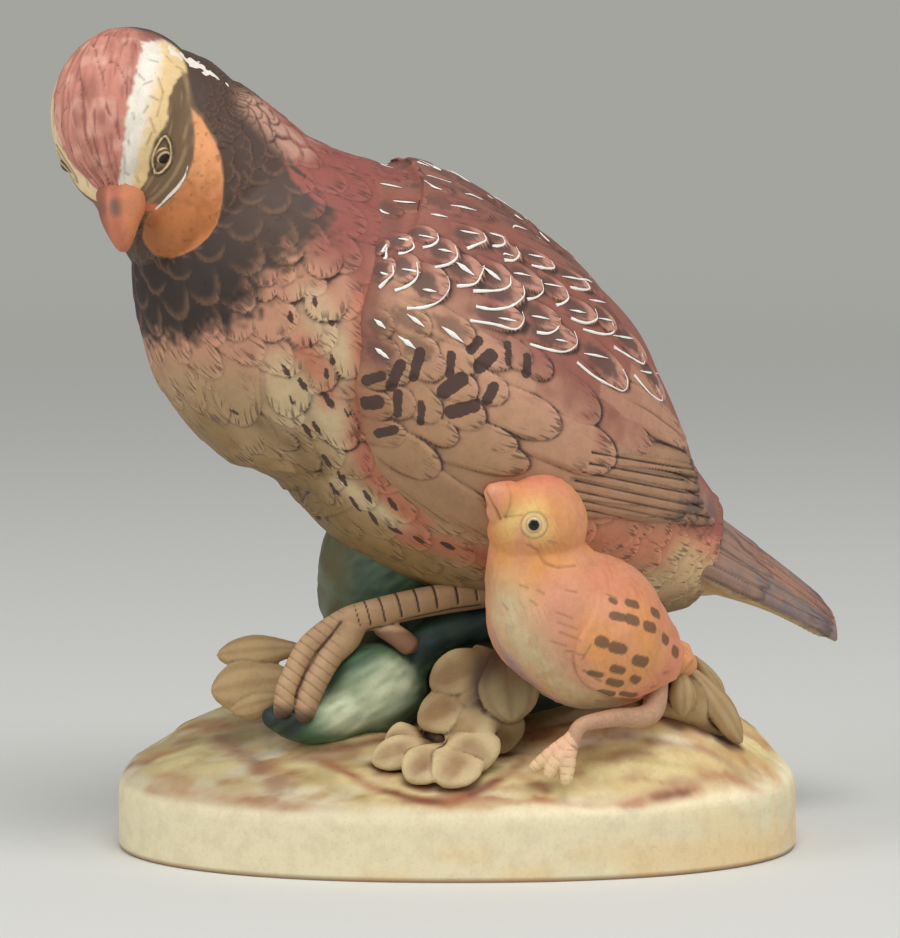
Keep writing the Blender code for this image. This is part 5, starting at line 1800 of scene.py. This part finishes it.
lobe_forms = [lobe(*row) for row in LOBES]
stalks = [
    limb([spot(500, 660, -16), spot(470, 710, -20), spot(440, 748, -21)], [6, 7, 5]),
    limb([spot(650, 690, -16), spot(684, 700, -14), spot(716, 728, -9)], [5, 5, 4]),
]
leaf_skin = Skin(fused("pale_leaves", [form.tube(28) for form in lobe_forms] + stalks, 0.42, 2), LEAF_CREAM)
nearest = np.full(leaf_skin.count, 1e9)
middle_of, striped = np.zeros(leaf_skin.count), np.zeros(leaf_skin.count)
for number, form in enumerate(lobe_forms):
    share, angle = form.chart(leaf_skin.points)
    away_from = np.linalg.norm(leaf_skin.points - form.skin(share, angle), axis=1)
    across = np.sin(np.radians(angle))
    brown = ramp(np.abs(across), 0.8, 0.15) * ramp(share, 0.95, 0.55) * ramp(share, 0.15, 0.45)
    brown = np.maximum(0.9 * brown, ramp(share, 0.34, 0.05))
    if number in VEINED_LOBES:
        brown = ramp(np.cos(across * 8.5), -0.5, 1.2) * ramp(share, 0.99, 0.8) * 0.6
    middle_of = np.where(away_from < nearest, brown, middle_of)
    striped = np.where(away_from < nearest, number in STRIPED_LOBES, striped)
    nearest = np.minimum(nearest, away_from)
dimple = (0.3 * striped - 0.45) * ramp(middle_of, 0.4, 1.0) * ramp(-(leaf_skin.normals @ VIEW), 0.2, 0.7)
evened = np.stack([leaf_skin.even(column, 5) for column in leaf_skin.points.T], axis=1)
creases = ((evened - leaf_skin.points) * leaf_skin.normals).sum(1)
leaf_skin.shape(dimple)
leaf_skin.hollow = np.clip(creases * 9.0, 0, 1)
ragged = mottle(leaf_skin.points, 2.2, 9)
leaf_skin.lay(LEAF_BROWN, middle_of * (0.85 + 0.25 * ragged))
leaf_skin.lay(ink(150, 116, 70), 0.6 * striped)
for colour, places, y, radius, strength in (
    (ink(120, 90, 50), ((440, 686), (470, 672), (486, 656)), -21, 5.0, 0.8),
    (ink(126, 94, 54), ((428, 722), (460, 712), (484, 700)), -24, 4.0, 0.75),
    # This stroke down the middle column and the next one along the stalk are painted shadow under the chick.
    (ink(96, 74, 38), ((506, 640), (508, 680), (512, 722)), -24, 7.0, 0.85),
    (ink(64, 46, 24), ((492, 640), (484, 690), (468, 738)), -24, 3.0, 0.9),
    (ink(64, 46, 24), ((440, 706), (478, 694)), -23, 1.2, 0.8),
    (ink(110, 78, 44), ((430, 742), (452, 748), (490, 746)), -27, 1.6, 0.8),
):
    path = [spot(*place, y) for place in places]
    leaf_skin.lay(colour, strength * stroke(leaf_skin.points, path, radius, radius * 0.5 + 0.6))
leaf_skin.finish(bisque("leaf_paint", LEAF_DARK, 0.0))

GREEN, GREEN_DARK = ink(78, 104, 78), ink(34, 48, 44)
growth = [
    (at(-8, 6, 8), 17, 14), (at(-10.5, 6, 24), 13.5, 12),
    (at(-14.0, 6, 42), 14.4, 15), (at(-10, 6, 54), 14, 14),
]
prop = [(at(20, 4, 8), 17, 15), (at(18, 4, 30), 12, 12), (at(16, 4, 50), 13, 13)]
far_leg = [at(6, 20, 50), at(-6, 20, 30), at(-12, 20, 10)]
green_skin = Skin(fused("green_growth", [
    ball(spot(376, 691, -12), (1, 0, 0.25), (0, -0.3, 1), (10.6, 8.0, 10.2)),
    limb([spot(400, 650, 0), spot(450, 655, 0), spot(505, 660, 2)], [7, 8, 8]),
    limb(shown(((376, 700, -12), (315, 722, -18), (276, 717, -18), (264, 712, -17))), [6.4, 4.6, 3.0, 0.9]),
    limb([spot(412, 660, -10), spot(440, 634, -8), spot(495, 620, -6)], [4.6, 3.8, 3.6]),
    Form(growth, (1, 0, 0)).tube(36), Form(prop, (1, 0, 0)).tube(36), limb(far_leg, [7, 3.3, 3.3]),
], 0.6, 4), GREEN)
green_tree = green_skin.tree()
lumps = mottle(green_skin.points, 7.0, 3)
brushed = green_skin.points @ np.stack([unit((1, 0, 0.75)), unit((-0.6, 0, 1)), (0, 1, 0)], axis=1)
veins = mottle(brushed * np.array([0.3, 1.4, 1.0]), 1.4, 4)
leafy = ramp(green_skin.points[:, 1], -4, -9)
green_skin.shape((1 - leafy) * 0.9 * lumps + 0.14 * veins)
green_skin.lay(ink(94, 86, 54), (1 - leafy) * ramp(lumps, -0.9, 0.3))
green_skin.lay(GREEN_DARK, (1 - leafy) * 0.75 * ramp(green_skin.points[:, 0], -24, -15))
green_skin.lay(GREEN_DARK, 0.75 * leafy * ramp(veins + 0.3 * lumps, 0.3, -0.7))
for colour, places, radius, soft, strength in (
    (ink(112, 124, 104), ((322, 572), (320, 590), (326, 612)), 1.6, 1.8, 0.8),
    (ink(88, 122, 88), ((345, 712), (368, 700), (392, 684)), 7.5, 3.5, 1.0),
    (ink(208, 212, 176), ((346, 716), (368, 702), (394, 684)), 5.0, 3.4, 0.95),
    (ink(70, 66, 40), ((356, 646), (376, 642), (392, 646)), 2.6, 2.2, 0.7),
    (ink(52, 72, 72), ((416, 650), (440, 630), (484, 620)), 2.6, 1.5, 0.9),
    (ink(58, 84, 92), ((424, 640), (446, 644), (486, 634)), 0.6, 0.8, 0.6),
    (ink(58, 104, 66), ((300, 734), (330, 738), (380, 732)), 0.9, 1.2, 0.8),
    (ink(22, 28, 28), ((262, 716), (276, 714), (290, 722)), 3.0, 2.5, 1.0),
):
    mask = stroke(green_skin.points, seen(green_tree, places), radius, soft)
    green_skin.lay(colour, strength * mask * (0.85 + 0.4 * veins * (radius == 5.0)))
green_skin.finish(bisque("green_paint", ink(26, 34, 30), 0.0, 0.46))

# %% [markdown]
# The earth colours are dabbed on in patches. They gather round the leaves, with painted shade
# where the leaves meet the base, while the side keeps the ivory of the clay.

# %% Painting the base
points = base_skin.points
inner = ramp(1 - base_reach(points[:, 0], points[:, 1]), 0.0, 0.2)
top = ramp(base_skin.normals[:, 2], 0.25, 0.6)
wide = points * np.array([0.5, 1, 1])
earth, clods, crumbs = mottle(wide, 7, 1), mottle(wide, 2.8, 2), mottle(points, 1.1, 5)
leaf_near = leaf_skin.tree()
gap = np.array([leaf_near.find_nearest(Vector(p), 9)[3] or 9 for p in points])
height = top * inner * (0.7 * earth + 0.45 * clods + 0.12 * crumbs)
base_skin.shape(height)
EARTH, MAUVE, RUST_EARTH, DEEP_RUST = ink(194, 170, 114), ink(146, 102, 84), ink(158, 94, 62), ink(98, 54, 40)
LIGHT_EARTH, OLIVE_EARTH, TAN_EARTH = ink(222, 206, 150), ink(164, 146, 84), ink(188, 138, 92)
side = 1 - top
base_skin.lay(ink(228, 217, 180), side)
tan_clouds = ramp(earth + 0.012 * points[:, 0], 0.1, 0.7) * ramp(points[:, 2], 9.5, 4)
base_skin.lay(ink(230, 200, 148), 0.6 * side * tan_clouds)
base_skin.lay(ink(236, 204, 150), 0.5 * side * ramp(points[:, 0], 20, 66) * ramp(clods + earth, -0.6, 0.5))
base_skin.lay(EARTH, 0.9 * top * inner * ramp(earth + clods * 0.5, -0.8, 0.2))
for colour, low, high, strength, grain, seed in (
    (OLIVE_EARTH, 0.0, 0.6, 0.55, 7, 6), (TAN_EARTH, 0.0, 0.5, 0.7, 6, 12),
    (LIGHT_EARTH, 0.1, 0.6, 0.7, 5, 19), (MAUVE, 0.25, 0.7, 0.6, 6, 15), (RUST_EARTH, 0.45, 0.8, 0.5, 4, 27),
):
    patches = mottle(wide, grain, seed) + 0.35 * clods + 0.15 * crumbs
    base_skin.lay(colour, strength * top * inner * ramp(patches, low, high))
EARTH_DABS = (
    (MAUVE, ((180, 742), (192, 740)), 2.4, 0.8), (MAUVE, ((220, 742), (250, 755), (262, 770)), 3.4, 0.8),
    (TAN_EARTH, ((150, 790), (230, 800), (300, 806)), 3.0, 0.7),
    (MAUVE, ((130, 766), (150, 762)), 2.0, 0.7), (RUST_EARTH, ((246, 798), (288, 806)), 2.6, 0.6),
    (OLIVE_EARTH, ((330, 788), (366, 798)), 2.2, 0.7),
    (LIGHT_EARTH, ((290, 765), (340, 775), (380, 795)), 3.0, 0.7),
    (LIGHT_EARTH, ((170, 810), (240, 820)), 3.0, 0.5),
    (DEEP_RUST, ((309, 752), (360, 746), (427, 735)), 2.0, 0.75),
    (MAUVE, ((300, 758), (340, 768)), 2.4, 0.6),
    (RUST_EARTH, ((326, 764), (368, 784), (408, 800), (448, 803), (488, 788), (522, 762)), 1.9, 0.9),
    (DEEP_RUST, ((385, 790), (418, 801), (440, 801)), 1.3, 0.8),
    (DEEP_RUST, ((470, 794), (500, 780)), 1.3, 0.7),
    (MAUVE, ((630, 722), (672, 710), (706, 734)), 1.8, 0.9),
    (MAUVE, ((585, 750), (600, 738), (628, 732)), 3.4, 0.9),
    (TAN_EARTH, ((620, 720), (660, 716), (700, 740)), 4.0, 0.8),
    (LIGHT_EARTH, ((600, 775), (640, 765), (690, 772)), 2.8, 0.8),
    (OLIVE_EARTH, ((640, 762), (690, 768)), 1.4, 0.6),
    (RUST_EARTH, ((628, 804), (660, 796), (694, 790)), 2.6, 0.95),
    (DEEP_RUST, ((655, 797), (686, 792)), 1.6, 0.8),
    (RUST_EARTH, ((540, 800), (600, 806), (640, 804)), 1.6, 0.6),
    (RUST_EARTH, ((700, 770), (735, 780), (762, 795)), 2.2, 0.75),
    (TAN_EARTH, ((730, 755), (760, 765), (780, 785)), 4.0, 0.7),
    (MAUVE, ((650, 740), (700, 748), (740, 770)), 1.6, 0.7),
    (DEEP_RUST, ((548, 768), (556, 760)), 1.6, 0.8), (RUST_EARTH, ((520, 775), (545, 790)), 2.2, 0.7),
)
for colour, places, radius, strength in EARTH_DABS:
    mask = stroke(points, seen(base_tree, places), radius * 0.6, radius * 0.7)
    base_skin.lay(colour, strength * mask * top * (0.8 + 0.3 * clods + 0.2 * crumbs))
base_skin.wash *= (1 + 0.24 * top * np.clip(points[:, 0] / 45, -1, 1))[:, None]
# Deep rust close to the leaves: partly the earth's own rust and partly painted shade where the leaves meet
# the base.
base_skin.lay(DEEP_RUST, 0.9 * top * ramp(gap + 0.8 * clods, 2.8, 0.6))
base_skin.hollow = np.clip((base_skin.even(height, 5) - height) * 2.2, 0, 1) * top * 0.8
base_skin.lay(ink(140, 100, 66), 0.85 * ramp(points[:, 2], 0.9, 0.2))
base_skin.finish(bisque("earth_paint", ink(148, 100, 66), 0.0), 50)

# %% [markdown]
# The floor is one pale sheet of studio paper that fades into a grey backdrop, so that no edge shows. The
# backdrop grey is only for the camera, and the light comes from a plain sky and three soft boxes.

# %% Stage and light
bpy.ops.object.select_all(action="DESELECT")
bpy.ops.mesh.primitive_circle_add(vertices=96, radius=2.2, fill_type="NGON")
floor = bpy.context.object
floor.name = "floor"
paper_material = bpy.data.materials.new("studio_paper")
nodes = Nodes(paper_material)
place = nodes.add("ShaderNodeTexCoord", {}, output=3)
reach = nodes.add("ShaderNodeVectorMath", {"operation": "LENGTH"}, place)
nodes.join("Base Color", light(ink(214, 214, 208)))
nodes.join("Roughness", 0.9)
nodes.join("Alpha", 1 - reach.ramp(0.45, 1.7))
floor.data.materials.append(paper_material)
floor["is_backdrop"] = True

world = bpy.data.worlds.new("studio")
bpy.context.scene.world = world
world.use_nodes = True
sky = world.node_tree
background = sky.nodes["Background"]
background.inputs["Strength"].default_value = 1.0
backdrop = sky.nodes.new("ShaderNodeMix")
backdrop.data_type = "RGBA"
SKY, BACKDROP = 0.34, ink(164, 165, 158)
colour_sockets = [socket for socket in backdrop.inputs if socket.type == "RGBA"]
for socket, colour in zip(colour_sockets, (ink(250, 252, 255) * SKY, BACKDROP)):
    socket.default_value = light(colour)
rays = sky.nodes.new("ShaderNodeLightPath")
sky.links.new(rays.outputs["Is Camera Ray"], backdrop.inputs[0])
mixed = [socket for socket in backdrop.outputs if socket.type == "RGBA"][0]
sky.links.new(mixed, background.inputs["Color"])


def lamp(name, place, power, size, colour=(1, 1, 1)):
    """A soft box that looks at the figure."""
    data = bpy.data.lights.new(name, "AREA")
    data.energy, data.size, data.color = power, size, colour
    box = bpy.data.objects.new(name, data)
    bpy.context.scene.collection.objects.link(box)
    box.location = place
    box.rotation_euler = (Vector((0, 0, 0.08)) - Vector(place)).to_track_quat("-Z", "Y").to_euler()


lamp("key", (0.15, -0.6, 1.25), 11, 0.8)
lamp("left_fill", (-0.9, -0.6, 0.55), 4.5, 0.6)
lamp("right_fill", (0.9, -0.5, 0.5), 2.5, 0.6)
bpy.context.scene.view_settings.view_transform = "Standard"

# %% Sizes
low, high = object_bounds()
print("dressed box", [[round(c / MM, 1) for c in corner] for corner in (low, high)])
